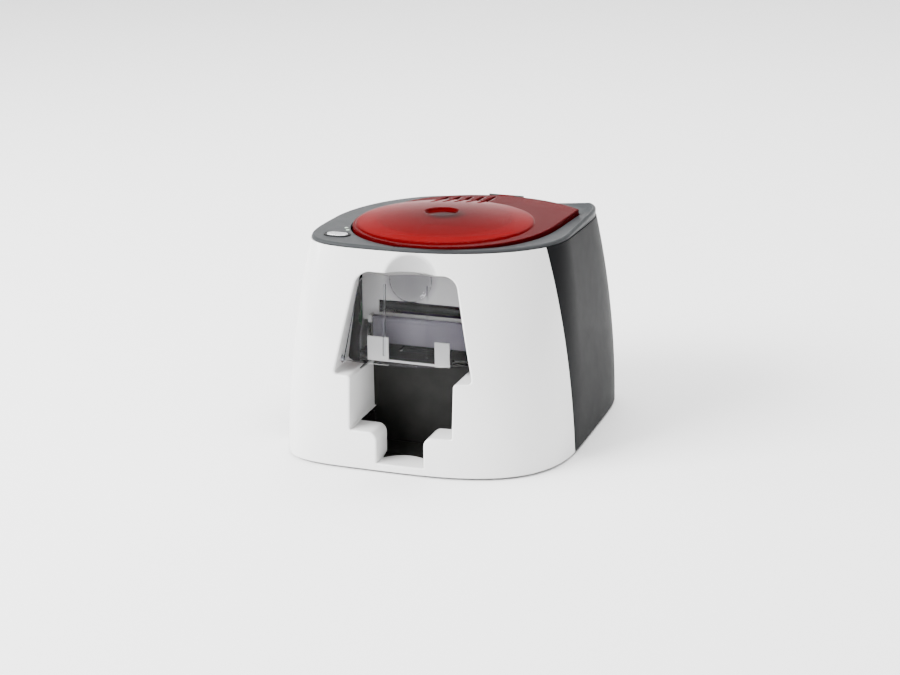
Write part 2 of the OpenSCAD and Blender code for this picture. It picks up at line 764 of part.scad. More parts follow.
// Chassis: two side plates on the base tray, tied by bars
plate_l = card_x - plate_in - plate_t;
plate_r = card_x + plate_in;
span = 2 * (plate_in + plate_t);
bush_r = 5;
head_y = 62;
head_z = 128;
spool_z = plate_top - spool_drop;
takeup_y = -38;
supply_y = 48;
spool_shaft_r = 4;
motor_y = 34;
motor_z = 42;
bars_at = [[-45, 60], [-55, 120], [80, 20], [80, 120]];
pinch_z = card_z + card_t + pinch_r;
clean_z = card_z + card_t + roller_r;
driven_y = [feed_y, front_y_axis, platen_y, rear_y];
module side_plate(x, side) {
  difference() {
    union() {
      along_x(x, plate_t) polygon([[-67, tray_top], [90, tray_top], [90, 128],
        [66, plate_top], [-52, plate_top], [-64, 138], [-64, 108], [-72, 96], [-72, 70],
        [-67, 62]]);
      block([side < 0 ? x - 11 : x, -60, tray_top], [side < 0 ? x + plate_t
        : x + plate_t + 11, 84, tray_top + plate_t]);
    }
    for (y = driven_y)
      bar_x(x - 1, plate_t + 2, y, axis_z, bush_r);
    for (y = [front_y_axis, rear_y])
      bar_x(x - 1, plate_t + 2, y, pinch_z, 1.5 + run_fit);
    bar_x(x - 1, plate_t + 2, clean_y, clean_z, shaft_r + run_fit);
    bar_x(x - 1, plate_t + 2, head_y, head_z, 3);
    for (y = [takeup_y, supply_y]) {
      bar_x(x - 1, plate_t + 2, y, spool_z, spool_shaft_r + 0.1);
      block([x - 1, y - spool_shaft_r - 0.1, spool_z], [x + plate_t + 1,
        y + spool_shaft_r + 0.1, plate_top + 1]);
    }
    if (side > 0)
      bar_x(x - 1, plate_t + 2, motor_y, motor_z, shaft_r + 0.3);
    for (p = bars_at)
      bar_x(x - 1, plate_t + 2, p[0], p[1], 2);
  }
}
module chassis_left_plate() {
  color([0.6, 0.61, 0.63]) side_plate(plate_l, -1);
}
module chassis_right_plate() {
  color([0.6, 0.61, 0.63]) side_plate(plate_r, 1);
}
module cross_bars() {
  color([0.7, 0.7, 0.72])
    for (p = bars_at) {
      bar_x(plate_l, span, p[0], p[1], 2);
      bar_x(plate_l + plate_t, 2 * plate_in, p[0], p[1], 3.5);
    }
}
module chassis_screws() {
  color([0.7, 0.7, 0.72])
    for (x = [plate_l - 6, plate_r + plate_t + 6])
      for (y = [-50, 12, 76])
        translate([x, y, tray_top + plate_t]) cylinder(r1 = 2.8, r2 = 2.2, h = 1.8);
}
module roller_bushes() {
  color([0.75, 0.6, 0.3])
    for (x = [plate_l - 1, plate_r])
      for (y = driven_y)
        difference() {
          bar_x(x, plate_t + 1, y, axis_z, bush_r);
          bar_x(x - 1, plate_t + 3, y, axis_z, shaft_r + run_fit);
        }
}

// Driven rollers: rubber sleeves on steel shafts with toothed pulleys at the right end
belt_x = plate_r + plate_t + 3;
motor_belt_x = belt_x + 8;
pulley_w = 6;
belt_w = 4;
belt_t = 1.2;
module sleeve(y, z, half) {
  difference() {
    bar_x(card_x - half, 2 * half, y, z, roller_r);
    bar_x(card_x - half - 1, 2 * half + 2, y, z, shaft_r);
  }
}
module drive_shaft(y, z, x_end) {
  color([0.72, 0.72, 0.74]) {
    bar_x(plate_l - 3, x_end - plate_l + 3, y, z, shaft_r);
    bar_x(belt_x, pulley_w, y, z, pulley_r);
  }
}
module feed_roller() {
  color([0.1, 0.1, 0.1]) sleeve(feed_y, axis_z, 19);
}
module feed_shaft() {
  drive_shaft(feed_y, axis_z, belt_x + pulley_w);
}
module front_roller() {
  color([0.1, 0.1, 0.1]) sleeve(front_y_axis, axis_z, 44);
}
module front_shaft() {
  drive_shaft(front_y_axis, axis_z, belt_x + pulley_w);
}
module platen_roller() {
  color([0.12, 0.12, 0.12]) sleeve(platen_y, axis_z, 44);
}
module platen_shaft() {
  drive_shaft(platen_y, axis_z, motor_belt_x + pulley_w);
  color([0.72, 0.72, 0.74]) bar_x(motor_belt_x, pulley_w, platen_y, axis_z, pulley_r);
}
module rear_roller() {
  color([0.1, 0.1, 0.1]) sleeve(rear_y, axis_z, 44);
}
module rear_shaft() {
  drive_shaft(rear_y, axis_z, belt_x + pulley_w);
}
module pinch(y) {
  color([0.72, 0.72, 0.74]) {
    bar_x(plate_l - 1, span + 2, y, pinch_z, 1.5);
    bar_x(card_x - 42, 84, y, pinch_z, pinch_r);
  }
}
module front_pinch_roller() {
  pinch(front_y_axis);
}
module rear_pinch_roller() {
  pinch(rear_y);
}
module cleaning_roller() {
  color([0.2, 0.4, 0.75]) {
    bar_x(plate_l - 2, span + 4, clean_y, clean_z, shaft_r);
    bar_x(card_x - frame_x + 1, 2 * frame_x - 2, clean_y, clean_z, roller_r);
  }
}
// A belt round two pulleys, from (0, 0) to a pulley at length l, flat across X
module belt_loop(l, r) {
  rotate([0, 90, 0]) linear_extrude(belt_w) difference() {
    union() {
      circle(r + belt_t);
      translate([0, l]) circle(r + belt_t);
      translate([-r - belt_t, 0]) square([2 * (r + belt_t), l]);
    }
    union() {
      circle(r);
      translate([0, l]) circle(r);
      translate([-r, 0]) square([2 * r, l]);
    }
  }
}
module transport_belt() {
  color([0.09, 0.09, 0.09]) translate([belt_x + 1, feed_y, axis_z])
    belt_loop(rear_y - feed_y, pulley_r + 0.3);
}
module motor_belt() {
  dy = motor_y - platen_y;
  dz = motor_z - axis_z;
  color([0.09, 0.09, 0.09]) translate([motor_belt_x + 1, platen_y, axis_z])
    rotate([atan2(dz, dy), 0, 0]) belt_loop(norm([dy, dz]), pulley_r + 0.3);
}
module main_motor() {
  color([0.5, 0.5, 0.52]) difference() {
    union() {
      bar_x(plate_r - 34, 34, motor_y, motor_z, 18);
      bar_x(plate_r - 37, 3, motor_y, motor_z, 7);
    }
    bar_x(plate_r - 26, 40, motor_y, motor_z, shaft_r + run_fit);
  }
}
module motor_shaft() {
  color([0.72, 0.72, 0.74]) {
    bar_x(plate_r - 25, motor_belt_x + pulley_w - plate_r + 25, motor_y, motor_z, shaft_r);
    bar_x(motor_belt_x, pulley_w, motor_y, motor_z, pulley_r);
  }
}

// Print head on its swinging arm
film_z = card_z + card_t + 0.3;
head_low = film_z + 0.7;
arm_x = 46;
module print_head() {
  color([0.2, 0.2, 0.22]) {
    block([card_x - arm_x, platen_y - 6, head_low + 1.5], [card_x + arm_x, platen_y + 8,
      head_low + 9]);
    block([card_x - 43, platen_y - 2, head_low], [card_x + 43, platen_y + 3,
      head_low + 2]);
  }
}
module heat_sink() {
  color([0.75, 0.76, 0.78]) {
    block([card_x - 40, platen_y - 6, head_low + 9], [card_x + 40, platen_y + 8,
      head_low + 13]);
    for (k = [0 : 15])
      block([card_x - 40 + k * 5.2, platen_y - 6, head_low + 13], [card_x - 38 + k * 5.2,
        platen_y + 8, head_low + 27]);
  }
}
module head_arm() {
  color([0.62, 0.63, 0.65]) {
    for (x = [card_x - arm_x - 2, card_x + arm_x])
      difference() {
        union() {
          bar_x(x, 2, head_y, head_z, 7);
          along_x(x, 2) polygon([[platen_y - 6, head_low + 1.5], [platen_y + 8,
            head_low + 1.5], [platen_y + 12, head_low + 18], [head_y + 3, head_z - 6],
            [head_y - 3, head_z + 6.5], [platen_y - 2, head_low + 32],
            [platen_y - 6, head_low + 26]]);
        }
        bar_x(x - 1, 4, head_y, head_z, 3 + run_fit);
      }
    block([card_x - arm_x - 1, platen_y - 4, head_low + 27.2], [card_x + arm_x + 1,
      platen_y + 7, head_low + 29.2]);
  }
}
module head_pivot() {
  color([0.72, 0.72, 0.74]) bar_x(plate_l, span, head_y, head_z, 3);
}
module head_springs() {
  color([0.75, 0.75, 0.77])
    for (x = [card_x - 45, card_x + 41.6])
      for (k = [0 : 2])
        translate([x + k * 1.5, head_y, head_z]) rotate([0, 90, 0])
          rotate_extrude($fn = 32) translate([4, 0]) circle(0.7, $fn = 16);
}

// Ribbon: cassette frame, two spools and the film between them
frame_x = 42.6;
film_t = 0.2;
guide_front = -2;
guide_rear = 34;
guide_z = film_z + 3.4;
module cassette_end(x) {
  difference() {
    along_x(x, 1.8) polygon([[takeup_y - 10, spool_z - 6], [guide_front - 4, guide_z - 2],
      [guide_front + 4, guide_z - 2], [takeup_y + 12, spool_z + 2],
      [supply_y - 12, spool_z + 2], [guide_rear - 4, guide_z - 2],
      [guide_rear + 4, guide_z - 2], [supply_y + 9, spool_z - 8],
      [supply_y + 8, spool_z + 9], [takeup_y - 10, spool_z + 9]]);
    for (y = [takeup_y, supply_y])
      bar_x(x - 1, 4, y, spool_z, spool_shaft_r + run_fit);
  }
}
module cassette_frame() {
  color([0.35, 0.36, 0.4]) {
    for (m = [-1, 1]) {
      cassette_end(card_x + m * frame_x - (m < 0 ? 1.8 : 0));
      block([m < 0 ? plate_l : card_x + frame_x, 0, plate_top], [m < 0
        ? card_x - frame_x : plate_r + plate_t, 10, plate_top + 3]);
    }
    for (y = [-6, 12])
      block([card_x - frame_x, y - 3, spool_z + 5], [card_x + frame_x, y + 3,
        spool_z + 8]);
    for (y = [guide_front, guide_rear])
      bar_x(card_x - frame_x, 2 * frame_x, y, guide_z, 1.5);
  }
}
module spool(y, r) {
  bar_x(card_x - 42, 84, y, spool_z, core_r);
  bar_x(plate_l - 1, span + 2, y, spool_z, spool_shaft_r);
  color([0.16, 0.05, 0.2]) bar_x(card_x - 41, 82, y, spool_z, r);
}
module supply_spool() {
  color([0.85, 0.85, 0.86]) spool(supply_y, supply_r);
}
module takeup_spool() {
  color([0.85, 0.85, 0.86]) spool(takeup_y, takeup_r);
}
module ribbon_film() {
  y0 = takeup_y + takeup_r + 0.5;
  y1 = supply_y - supply_r - 0.5;
  color([0.2, 0.06, 0.25]) along_x(card_x - 41, 82) polygon([[y0, spool_z],
    [guide_front - 2.4, guide_z], [guide_front, film_z], [guide_rear, film_z],
    [guide_rear + 2.4, guide_z], [y1 + 0.2, spool_z], [y1, spool_z],
    [guide_rear + 2.2, guide_z], [guide_rear, film_z + film_t],
    [guide_front, film_z + film_t], [guide_front - 2.2, guide_z], [y0 + 0.2, spool_z]]);
}
module ribbon_motor() {
  x = plate_r + plate_t;
  color([0.5, 0.5, 0.52]) difference() {
    bar_x(x, 24, takeup_y, spool_z, 13);
    bar_x(x - 1, 7, takeup_y, spool_z, spool_shaft_r + 0.3);
  }
}

// Control board on the outside of the left plate
board_x = plate_l - 16;
module control_board() {
  color([0.1, 0.35, 0.16]) {
    block([board_x, -30, 20], [board_x + 1.6, 60, 112]);
    for (y = [-22, 52])
      for (z = [28, 104])
        bar_x(board_x + 1.6, plate_l - board_x - 1.6, y, z, 2.5);
  }
  color([0.08, 0.08, 0.08]) {
    block([board_x - 2, -5, 55], [board_x, 20, 80]);
    block([board_x - 8, 30, 30], [board_x, 50, 42]);
    block([board_x - 6, -20, 90], [board_x, 10, 98]);
  }
}

front_cover();
dish_cup();
right_side_panel();
rear_cover();
left_side_panel();
top_bezel();
base_tray();
rubber_feet();
lid_plate();
lid_hook();
lid_dome();
lid_inner_ring();
lid_hinge_pin();
hinge_bracket();
lid_catch();
catch_guide();
feeder_cover();
feeder_cover_pins();
feeder_lip();
feeder_tray();
feeder_back();
card_flap();
flap_pin();
output_hopper();
push_button();
button_ring();
button_board();
status_lamps();
chassis_left_plate();
chassis_right_plate();
cross_bars();
chassis_screws();
roller_bushes();
feed_roller();
feed_shaft();
front_roller();
front_shaft();
platen_roller();
platen_shaft();
rear_roller();
rear_shaft();
cleaning_roller();
front_pinch_roller();
rear_pinch_roller();
transport_belt();
motor_belt();
main_motor();
motor_shaft();
print_head();
heat_sink();
head_arm();
head_pivot();
head_springs();
cassette_frame();
supply_spool();
takeup_spool();
ribbon_film();
ribbon_motor();
control_board();
rear_sockets();
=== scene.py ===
import json
import math
import bpy
import bmesh
from mathutils import Matrix, Vector


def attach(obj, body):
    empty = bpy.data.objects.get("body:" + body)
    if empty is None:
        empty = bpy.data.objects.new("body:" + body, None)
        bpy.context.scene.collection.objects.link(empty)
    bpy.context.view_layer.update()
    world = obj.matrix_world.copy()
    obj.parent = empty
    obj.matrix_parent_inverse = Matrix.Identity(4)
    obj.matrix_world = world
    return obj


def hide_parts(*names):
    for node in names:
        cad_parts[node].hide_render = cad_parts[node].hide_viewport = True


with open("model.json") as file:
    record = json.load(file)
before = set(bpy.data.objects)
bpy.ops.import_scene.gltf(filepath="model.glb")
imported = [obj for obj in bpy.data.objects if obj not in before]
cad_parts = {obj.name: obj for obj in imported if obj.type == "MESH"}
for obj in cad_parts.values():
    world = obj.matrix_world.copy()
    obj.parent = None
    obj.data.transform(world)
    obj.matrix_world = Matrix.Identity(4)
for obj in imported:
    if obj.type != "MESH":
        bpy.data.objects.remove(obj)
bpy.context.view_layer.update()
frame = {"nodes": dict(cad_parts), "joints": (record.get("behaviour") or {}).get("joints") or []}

# Camera: a long lens above and to the right of the printer, looking down on its front. It
# is rolled by less than a degree, and depth of field stays off.
EYE = Vector((0.5466, -1.5148, 0.6176))
AIM = Vector((-0.1179, 0.3119, -0.0338))
LENS = 79.95
LENS_ROLL = math.radians(-0.84)
camera_data = bpy.data.cameras.new("camera")
camera_data.lens = LENS
camera_data.sensor_width = 36
camera_data.sensor_fit = "HORIZONTAL"
camera = bpy.data.objects.new("camera", camera_data)
look = (AIM - EYE).to_track_quat("-Z", "Y").to_matrix().to_4x4()
camera.matrix_world = Matrix.Translation(EYE) @ look @ Matrix.Rotation(LENS_ROLL, 4, "Z")
bpy.context.scene.collection.objects.link(camera)
bpy.context.scene.camera = camera


# Floor: a matt white paper sweep that runs back and curves up into a wall. It is one line,
# extruded back along the floor and then up in longer and longer steps.
def place(name, bm, material, smooth=True):
    """Turn a finished bmesh into an object at the origin with one material."""
    mesh = bpy.data.meshes.new(name)
    bm.to_mesh(mesh)
    bm.free()
    if smooth:
        mesh.polygons.foreach_set("use_smooth", [True] * len(mesh.polygons))
    piece = bpy.data.objects.new(name, mesh)
    mesh.materials.append(material)
    bpy.context.scene.collection.objects.link(piece)
    return piece


class Finish:
    """A material under construction: its shader, and short calls to add nodes."""

    def __init__(self, name, color, roughness, **sockets):
        self.material = bpy.data.materials.new(name)
        self.material.use_nodes = True
        self.tree = self.material.node_tree
        self.shader = self.tree.nodes["Principled BSDF"]
        self.shader.inputs["Base Color"].default_value = (*color, 1)
        self.shader.inputs["Roughness"].default_value = roughness
        for key, value in sockets.items():
            self.shader.inputs[key.replace("_", " ")].default_value = value
        self.coords = self.tree.nodes.new("ShaderNodeTexCoord").outputs["Object"]

    def noise(self, scale, detail=3):
        node = self.tree.nodes.new("ShaderNodeTexNoise")
        node.inputs["Scale"].default_value = scale
        node.inputs["Detail"].default_value = detail
        self.tree.links.new(self.coords, node.inputs["Vector"])
        return node.outputs["Fac"]

    def distance(self, point):
        """How far each place of the surface is from a point, in metres."""
        node = self.tree.nodes.new("ShaderNodeVectorMath")
        node.operation = "DISTANCE"
        node.inputs[1].default_value = point
        self.tree.links.new(self.coords, node.inputs[0])
        return node.outputs["Value"]

    def ramp(self, fac, stops):
        node = self.tree.nodes.new("ShaderNodeValToRGB")
        bar = node.color_ramp.elements
        while len(bar) < len(stops):
            bar.new(0.5)
        for element, (place_at, color) in zip(bar, stops):
            element.position = place_at
            element.color = (*color, 1)
        self.tree.links.new(fac, node.inputs["Fac"])
        return node.outputs["Color"]

    def color(self, fac, stops):
        self.tree.links.new(self.ramp(fac, stops), self.shader.inputs["Base Color"])
        return self

    def rough(self, fac, low, high):
        node = self.tree.nodes.new("ShaderNodeMapRange")
        node.inputs["To Min"].default_value = low
        node.inputs["To Max"].default_value = high
        self.tree.links.new(fac, node.inputs["Value"])
        self.tree.links.new(node.outputs["Result"], self.shader.inputs["Roughness"])
        return self

    def bump(self, fac, strength, distance=0.0001):
        node = self.tree.nodes.new("ShaderNodeBump")
        node.inputs["Strength"].default_value = strength
        node.inputs["Distance"].default_value = distance
        self.tree.links.new(fac, node.inputs["Height"])
        self.tree.links.new(node.outputs["Normal"], self.shader.inputs["Normal"])
        return self


FLOOR_HALF, FLOOR_FRONT = 6, -4
SWEEP_STEPS = [(0, 6.5, 0), (0, 0.6, 0.12), (0, 0.4, 0.5), (0, 0.1, 4)]
floor = bmesh.new()
front_left = floor.verts.new((-FLOOR_HALF, FLOOR_FRONT, 0))
front_right = floor.verts.new((FLOOR_HALF, FLOOR_FRONT, 0))
edge = floor.edges.new((front_left, front_right))
for step in SWEEP_STEPS:
    strip = bmesh.ops.extrude_edge_only(floor, edges=[edge])["geom"]
    edge = next(item for item in strip if isinstance(item, bmesh.types.BMEdge)
                and all(v in strip for v in item.verts))
    bmesh.ops.translate(floor, verts=list(edge.verts), vec=step)
bmesh.ops.recalc_face_normals(floor, faces=floor.faces[:])
paper = Finish("studio paper", (0.9, 0.9, 0.9), 0.9)
paper.color(paper.noise(3), [(0, (0.95, 0.95, 0.95)), (1, (0.98, 0.98, 0.98))])
place("sweep", floor, paper.material)


# Lights: a broad soft box at the front left, a larger one overhead and a weak one at the
# left, all turned to the printer's middle, in a plain white surrounding.
MIDDLE = Vector((0, 0, 0.1))


def soft_light(name, at, size, power):
    data = bpy.data.lights.new(name, "AREA")
    data.shape = "RECTANGLE"
    data.size, data.size_y = size
    data.energy = power
    light = bpy.data.objects.new(name, data)
    aim = (MIDDLE - Vector(at)).to_track_quat("-Z", "Y").to_matrix().to_4x4()
    light.matrix_world = Matrix.Translation(at) @ aim
    bpy.context.scene.collection.objects.link(light)


soft_light("key", (-1.5, -1.5, 1.6), (1.5, 1.1), 170)
soft_light("top", (0.2, 0.7, 2.4), (2.2, 1.8), 110)
soft_light("left fill", (-2.2, -0.4, 0.9), (0.8, 1.2), 30)
surrounding = bpy.data.worlds.new("studio")
bpy.context.scene.world = surrounding
surrounding.use_nodes = True
surrounding.node_tree.nodes["Background"].inputs["Color"].default_value = (1, 1, 1, 1)
surrounding.node_tree.nodes["Background"].inputs["Strength"].default_value = 1.0


# Side panels: two thin moulded shells in satin anthracite plastic, with the fine grain of
# a textured tool. They clip over the base tray and meet the white cover and the rear cover
# at plain seams. Sizes are in millimetres and become metres in the mesh.
MM = 0.001
CASE_X, CASE_Y = -21.5, -12
HALF = {"right": 140, "left": 97, "front": 113, "back": 137}
LEAN = {"right": 13.5, "left": 17, "front": 24.5, "back": 26}
CORNER_POWER = {"back right": 7.5, "back left": 1.9, "front right": 3, "front left": 5}
FRONT_SOFTENING = 0.95
RIM_FRONT, RIM_FALL, DEPTH = 184, 9, 250
BEZEL = 2.5
WALL = 2.4
LOW_LEVEL = 2 / RIM_FRONT
HIGH_LEVEL = 1 - BEZEL / (RIM_FRONT - RIM_FALL) - 0.001
# Seams, by their place round the case in degrees: 0 is the right side and 90 is the back.
SEAM = 0.09
SPLIT_LEFT, SPLIT_FOOT, SPLIT_RIM = 212, 349.5, 343
REAR_START, REAR_END = 52, 128


def squareness(angle, level):
    """Power of the case's outline: high at a square corner, low at a drawn-out one."""
    across = "right" if math.cos(angle) >= 0 else "left"
    if math.sin(angle) >= 0:
        return CORNER_POWER["back " + across]
    return CORNER_POWER["front " + across] - FRONT_SOFTENING * level


def case_point(angle, level, inward=0.0):
    """A point of the case, by its direction and its share of the rim's height. All the
    covers share this one outline, a superellipse that leans in towards the sloping rim."""
    across = "right" if math.cos(angle) >= 0 else "left"
    along = "back" if math.sin(angle) >= 0 else "front"
    half_x = HALF[across] - LEAN[across] * level ** 2
    half_y = HALF[along] - LEAN[along] * level ** 2
    power = squareness(angle, level)
    reach = (abs(math.cos(angle) / half_x) ** power
             + abs(math.sin(angle) / half_y) ** power) ** (-1 / power) - inward
    x = CASE_X + reach * math.cos(angle)
    y = CASE_Y + reach * math.sin(angle)
    rim = RIM_FRONT - RIM_FALL * (y + DEPTH / 2) / DEPTH
    return Vector((x, y, level * rim)) * MM


def outer_edges(bm):
    return [e for e in bm.edges if len(e.link_faces) == 1]


def mark_seams(bm):
    """Mark a sheet's outer edges for the bevel that softens its seams."""
    weight = bm.edges.layers.float.get("bevel_weight_edge") or \
        bm.edges.layers.float.new("bevel_weight_edge")
    for e in outer_edges(bm):
        e[weight] = 1


def cover_sheet(foot, rim, across, up):
    """A curved grid between two angles at the foot and two at the rim, in degrees."""
    bm = bmesh.new()
    bmesh.ops.create_grid(bm, x_segments=across, y_segments=up, size=1)
    for v in bm.verts:
        level = LOW_LEVEL + (HIGH_LEVEL - LOW_LEVEL) * (v.co.y + 1) / 2
        share = (v.co.x + 1) / 2
        angle = (foot[0] + (foot[1] - foot[0]) * share) * (1 - level) \
            + (rim[0] + (rim[1] - rim[0]) * share) * level
        v.co = case_point(math.radians(angle), level)
    bmesh.ops.recalc_face_normals(bm, faces=bm.faces[:])
    middle = Vector((CASE_X, CASE_Y, RIM_FRONT / 2)) * MM
    if sum(f.normal.dot(f.calc_center_median() - middle) for f in bm.faces) < 0:
        bmesh.ops.reverse_faces(bm, faces=bm.faces[:])
    mark_seams(bm)
    return bm


def settle(piece, slot, body, *stands_for):
    """Even out a piece's shading, hang it on the body it rides on, and hide the CAD nodes it stands
    for. The slot argument is not used."""
    even = piece.modifiers.new("shading", "WEIGHTED_NORMAL")
    even.keep_sharp = True
    if stands_for:
        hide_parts(*stands_for)
    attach(piece, body)


def wall_up(piece, wall, edge):
    """Give a sheet its wall on the inner side, and soften its seams."""
    thick = piece.modifiers.new("wall", "SOLIDIFY")
    thick.thickness = wall * MM
    thick.offset = -1
    soften = piece.modifiers.new("seam edges", "BEVEL")
    soften.width = edge * MM
    soften.segments = 3
    soften.limit_method = "WEIGHT"


anthracite = Finish("satin anthracite shell", (0.05, 0.05, 0.055), 0.42,
                    Specular_IOR_Level=0.03)
anthracite.color(anthracite.noise(25), [(0.3, (0.0054, 0.0056, 0.0062)),
                                        (0.7, (0.0064, 0.0066, 0.0073))])
anthracite.rough(anthracite.noise(90, 4), 0.38, 0.46)
anthracite.bump(anthracite.noise(2600, 2), 0.25)
for name, node, foot, rim, columns in [
        ("right_cover", "right_side_panel", (SPLIT_FOOT - 360 + SEAM, REAR_START - SEAM),
         (SPLIT_RIM - 360 + SEAM, REAR_START - SEAM), 120),
        ("left_cover", "left_side_panel", (REAR_END + SEAM, SPLIT_LEFT - SEAM),
         (REAR_END + SEAM, SPLIT_LEFT - SEAM), 110)]:
    panel = place(name, cover_sheet(foot, rim, columns, 60), anthracite.material)
    wall_up(panel, WALL, 0.5)
    settle(panel, "anthracite", "printer_case", node)


# Finger dish: a shallow ball-shaped hollow where a fingertip pulls the clear window open.
# Its upper half is pressed into the white cover and its lower half into the window, so
# one function presses it into either sheet.
DISH_R, DISH_DEEP = 21, 8
DISH_X, DISH_Z = 0, 158.5
DISH_SIDES = 72


def front_at(x, z):
    """Depth of the case's front at a place and height, in millimetres."""
    level = z / RIM_FRONT
    angle = math.radians(225 if x < CASE_X else 315)
    side = "left" if x < CASE_X else "right"
    power = squareness(angle, level)
    half_x = HALF[side] - LEAN[side] * level ** 2
    half_y = HALF["front"] - LEAN["front"] * level ** 2
    return CASE_Y - half_y * (1 - (abs(x - CASE_X) / half_x) ** power) ** (1 / power)


dish_ball = (DISH_R ** 2 + DISH_DEEP ** 2) / (2 * DISH_DEEP)
ball_back = dish_ball - DISH_DEEP
dish_face = front_at(DISH_X, DISH_Z)
dish_turn = math.atan(front_at(DISH_X + 1, DISH_Z) - dish_face)
dish_lean = math.atan(front_at(DISH_X, DISH_Z + 1) - dish_face)
to_world = (Matrix.Translation(Vector((DISH_X, dish_face, DISH_Z)) * MM)
            @ Matrix.Rotation(dish_turn, 4, "Z") @ Matrix.Rotation(-dish_lean, 4, "X"))
to_dish = to_world.inverted()
# Middle of the finger dish's painted shade in both finishes, a little behind the skin, in metres.
DISH_SHADE_MIDDLE = (0, -0.1042, 0.1585)


def with_borders(faces):
    """Faces together with their edges and corners, for a cut that touches only them."""
    geom = set(faces)
    for f in faces:
        geom.update(f.edges)
        geom.update(f.verts)
    return list(geom)


def cut_outline(bm, outline, flat, region, keep_inside=False):
    """Cut a sheet along an outline, seen along the axis that flat leaves out, and remove
    what lies inside it, or outside it where keep_inside is set."""
    a, b = flat
    view = Vector((0, 0, 0))
    view[3 - a - b] = 1
    pairs = list(zip(outline, outline[1:] + outline[:1]))
    extents = {}

    def extent(f):
        if f not in extents:
            us = [v.co[a] for v in f.verts]
            vs = [v.co[b] for v in f.verts]
            extents[f] = (min(us), max(us), min(vs), max(vs), region(f.calc_center_median()))
        return extents[f]
    for (p, q) in pairs:
        start, end = Vector((0, 0, 0)), Vector((0, 0, 0))
        start[a], start[b] = p
        end[a], end[b] = q
        normal = (end - start).cross(view)
        lows = (min(p[0], q[0]) - 1e-5, min(p[1], q[1]) - 1e-5)
        highs = (max(p[0], q[0]) + 1e-5, max(p[1], q[1]) + 1e-5)
        near = []
        for f in bm.faces:
            left, right, bottom, top, wanted = extent(f)
            if (wanted and left <= highs[0] and right >= lows[0] and bottom <= highs[1]
                    and top >= lows[1]):
                near.append(f)
        for f in near:
            del extents[f]
        bmesh.ops.bisect_plane(bm, geom=with_borders(near), plane_co=start,
                               plane_no=normal.normalized(), dist=2e-6)

    def within(point):
        u, v = point[a], point[b]
        odd = False
        for (p, q) in pairs:
            if (p[1] > v) != (q[1] > v) and u < (q[0] - p[0]) * (v - p[1]) / (q[1] - p[1]) + p[0]:
                odd = not odd
        return odd
    doomed = [f for f in bm.faces if region(f.calc_center_median())
              and within(f.calc_center_median()) != keep_inside]
    bmesh.ops.delete(bm, geom=doomed, context="FACES")
    bmesh.ops.remove_doubles(bm, verts=bm.verts[:], dist=2e-5)
    return pairs


def extrude_rim(bm, edges, move):
    """Extrude a run of edges and put each new point where move says; return the new run."""
    geom = bmesh.ops.extrude_edge_only(bm, edges=edges)["geom"]
    fresh = [item for item in geom if isinstance(item, bmesh.types.BMVert)]
    for v in fresh:
        v.co = move(v.co)
    marks = set(fresh)
    return [item for item in geom if isinstance(item, bmesh.types.BMEdge)
            and all(v in marks for v in item.verts)]


def press_dish(bm, radius, keep_above, cut_z, rings=10):
    """Cut the dish's circle out of a sheet and grow its ball shape from the edge."""
    bmesh.ops.transform(bm, matrix=to_dish, verts=bm.verts[:])
    spokes = [math.tau * k / DISH_SIDES for k in range(DISH_SIDES)]
    circle = [(radius * MM * math.cos(turn), radius * MM * math.sin(turn)) for turn in spokes]
    cut_outline(bm, circle, (0, 2), lambda c: abs(c.y) < 0.02 and c.length < 0.04)
    run = [e for e in outer_edges(bm) if all(
        abs(math.hypot(v.co.x, v.co.z) - radius * MM) < 1.5e-4 and abs(v.co.y) < 0.02
        for v in e.verts)]
    known = set(bm.verts)

    def ball_depth(rho):
        return math.sqrt(max(0, (dish_ball * MM) ** 2 - rho ** 2)) - ball_back * MM

    def sink(share, before):
        """Move a ring in to its share of the way, and fade out how far it lies off the ball."""
        def move(co):
            flat = Vector((co.x, co.z))
            new = flat.normalized() * radius * MM * (1 - share) if share < 1 else Vector((0, 0))
            stray = co.y - ball_depth(flat.length)
            keep = (1 - share) / (1 - before)
            return Vector((new.x, ball_depth(new.length) + stray * keep, new.y))
        return move
    for k in range(1, rings + 1):
        run = extrude_rim(bm, run, sink(k / rings, (k - 1) / rings))
    fresh = set(bm.verts) - known
    bmesh.ops.transform(bm, matrix=to_world, verts=bm.verts[:])
    faces = [f for f in bm.faces if any(v in fresh for v in f.verts)]
    bmesh.ops.bisect_plane(bm, geom=with_borders(faces), plane_co=(0, 0, cut_z * MM),
                           plane_no=(0, 0, 1), clear_inner=keep_above,
                           clear_outer=not keep_above, dist=1e-6)
    bmesh.ops.remove_doubles(bm, verts=bm.verts[:], dist=1e-5)


# Front cover: one glossy white moulding wrapped round the right front corner. Its stepped
# opening for cards has rolled edges, and returns behind it form the shoulders of the
# feeder, the walls of the hopper and the floor of the thumb slot.
CARD_X = -4
OUT_W, THUMB_W, FLOOR_Z, LEDGE_Z, SHOULDER_Z = 43, 20, 8, 34, 79
FEED_W0, FEED_W1, FEED_TOP = 57.4, 39.9, 162.9
ROLL = 1.6
FRONT_WALL = 2.0
LEDGE_DEEP, HOPPER_DEEP = 24, -69
RETURN_LOW, RETURN_HIGH, RETURN_TAPER, RETURN_FLARE = 36, 16, 70, 1.9
TONGUE_R, FLOOR_ROUND = 25, 1.5


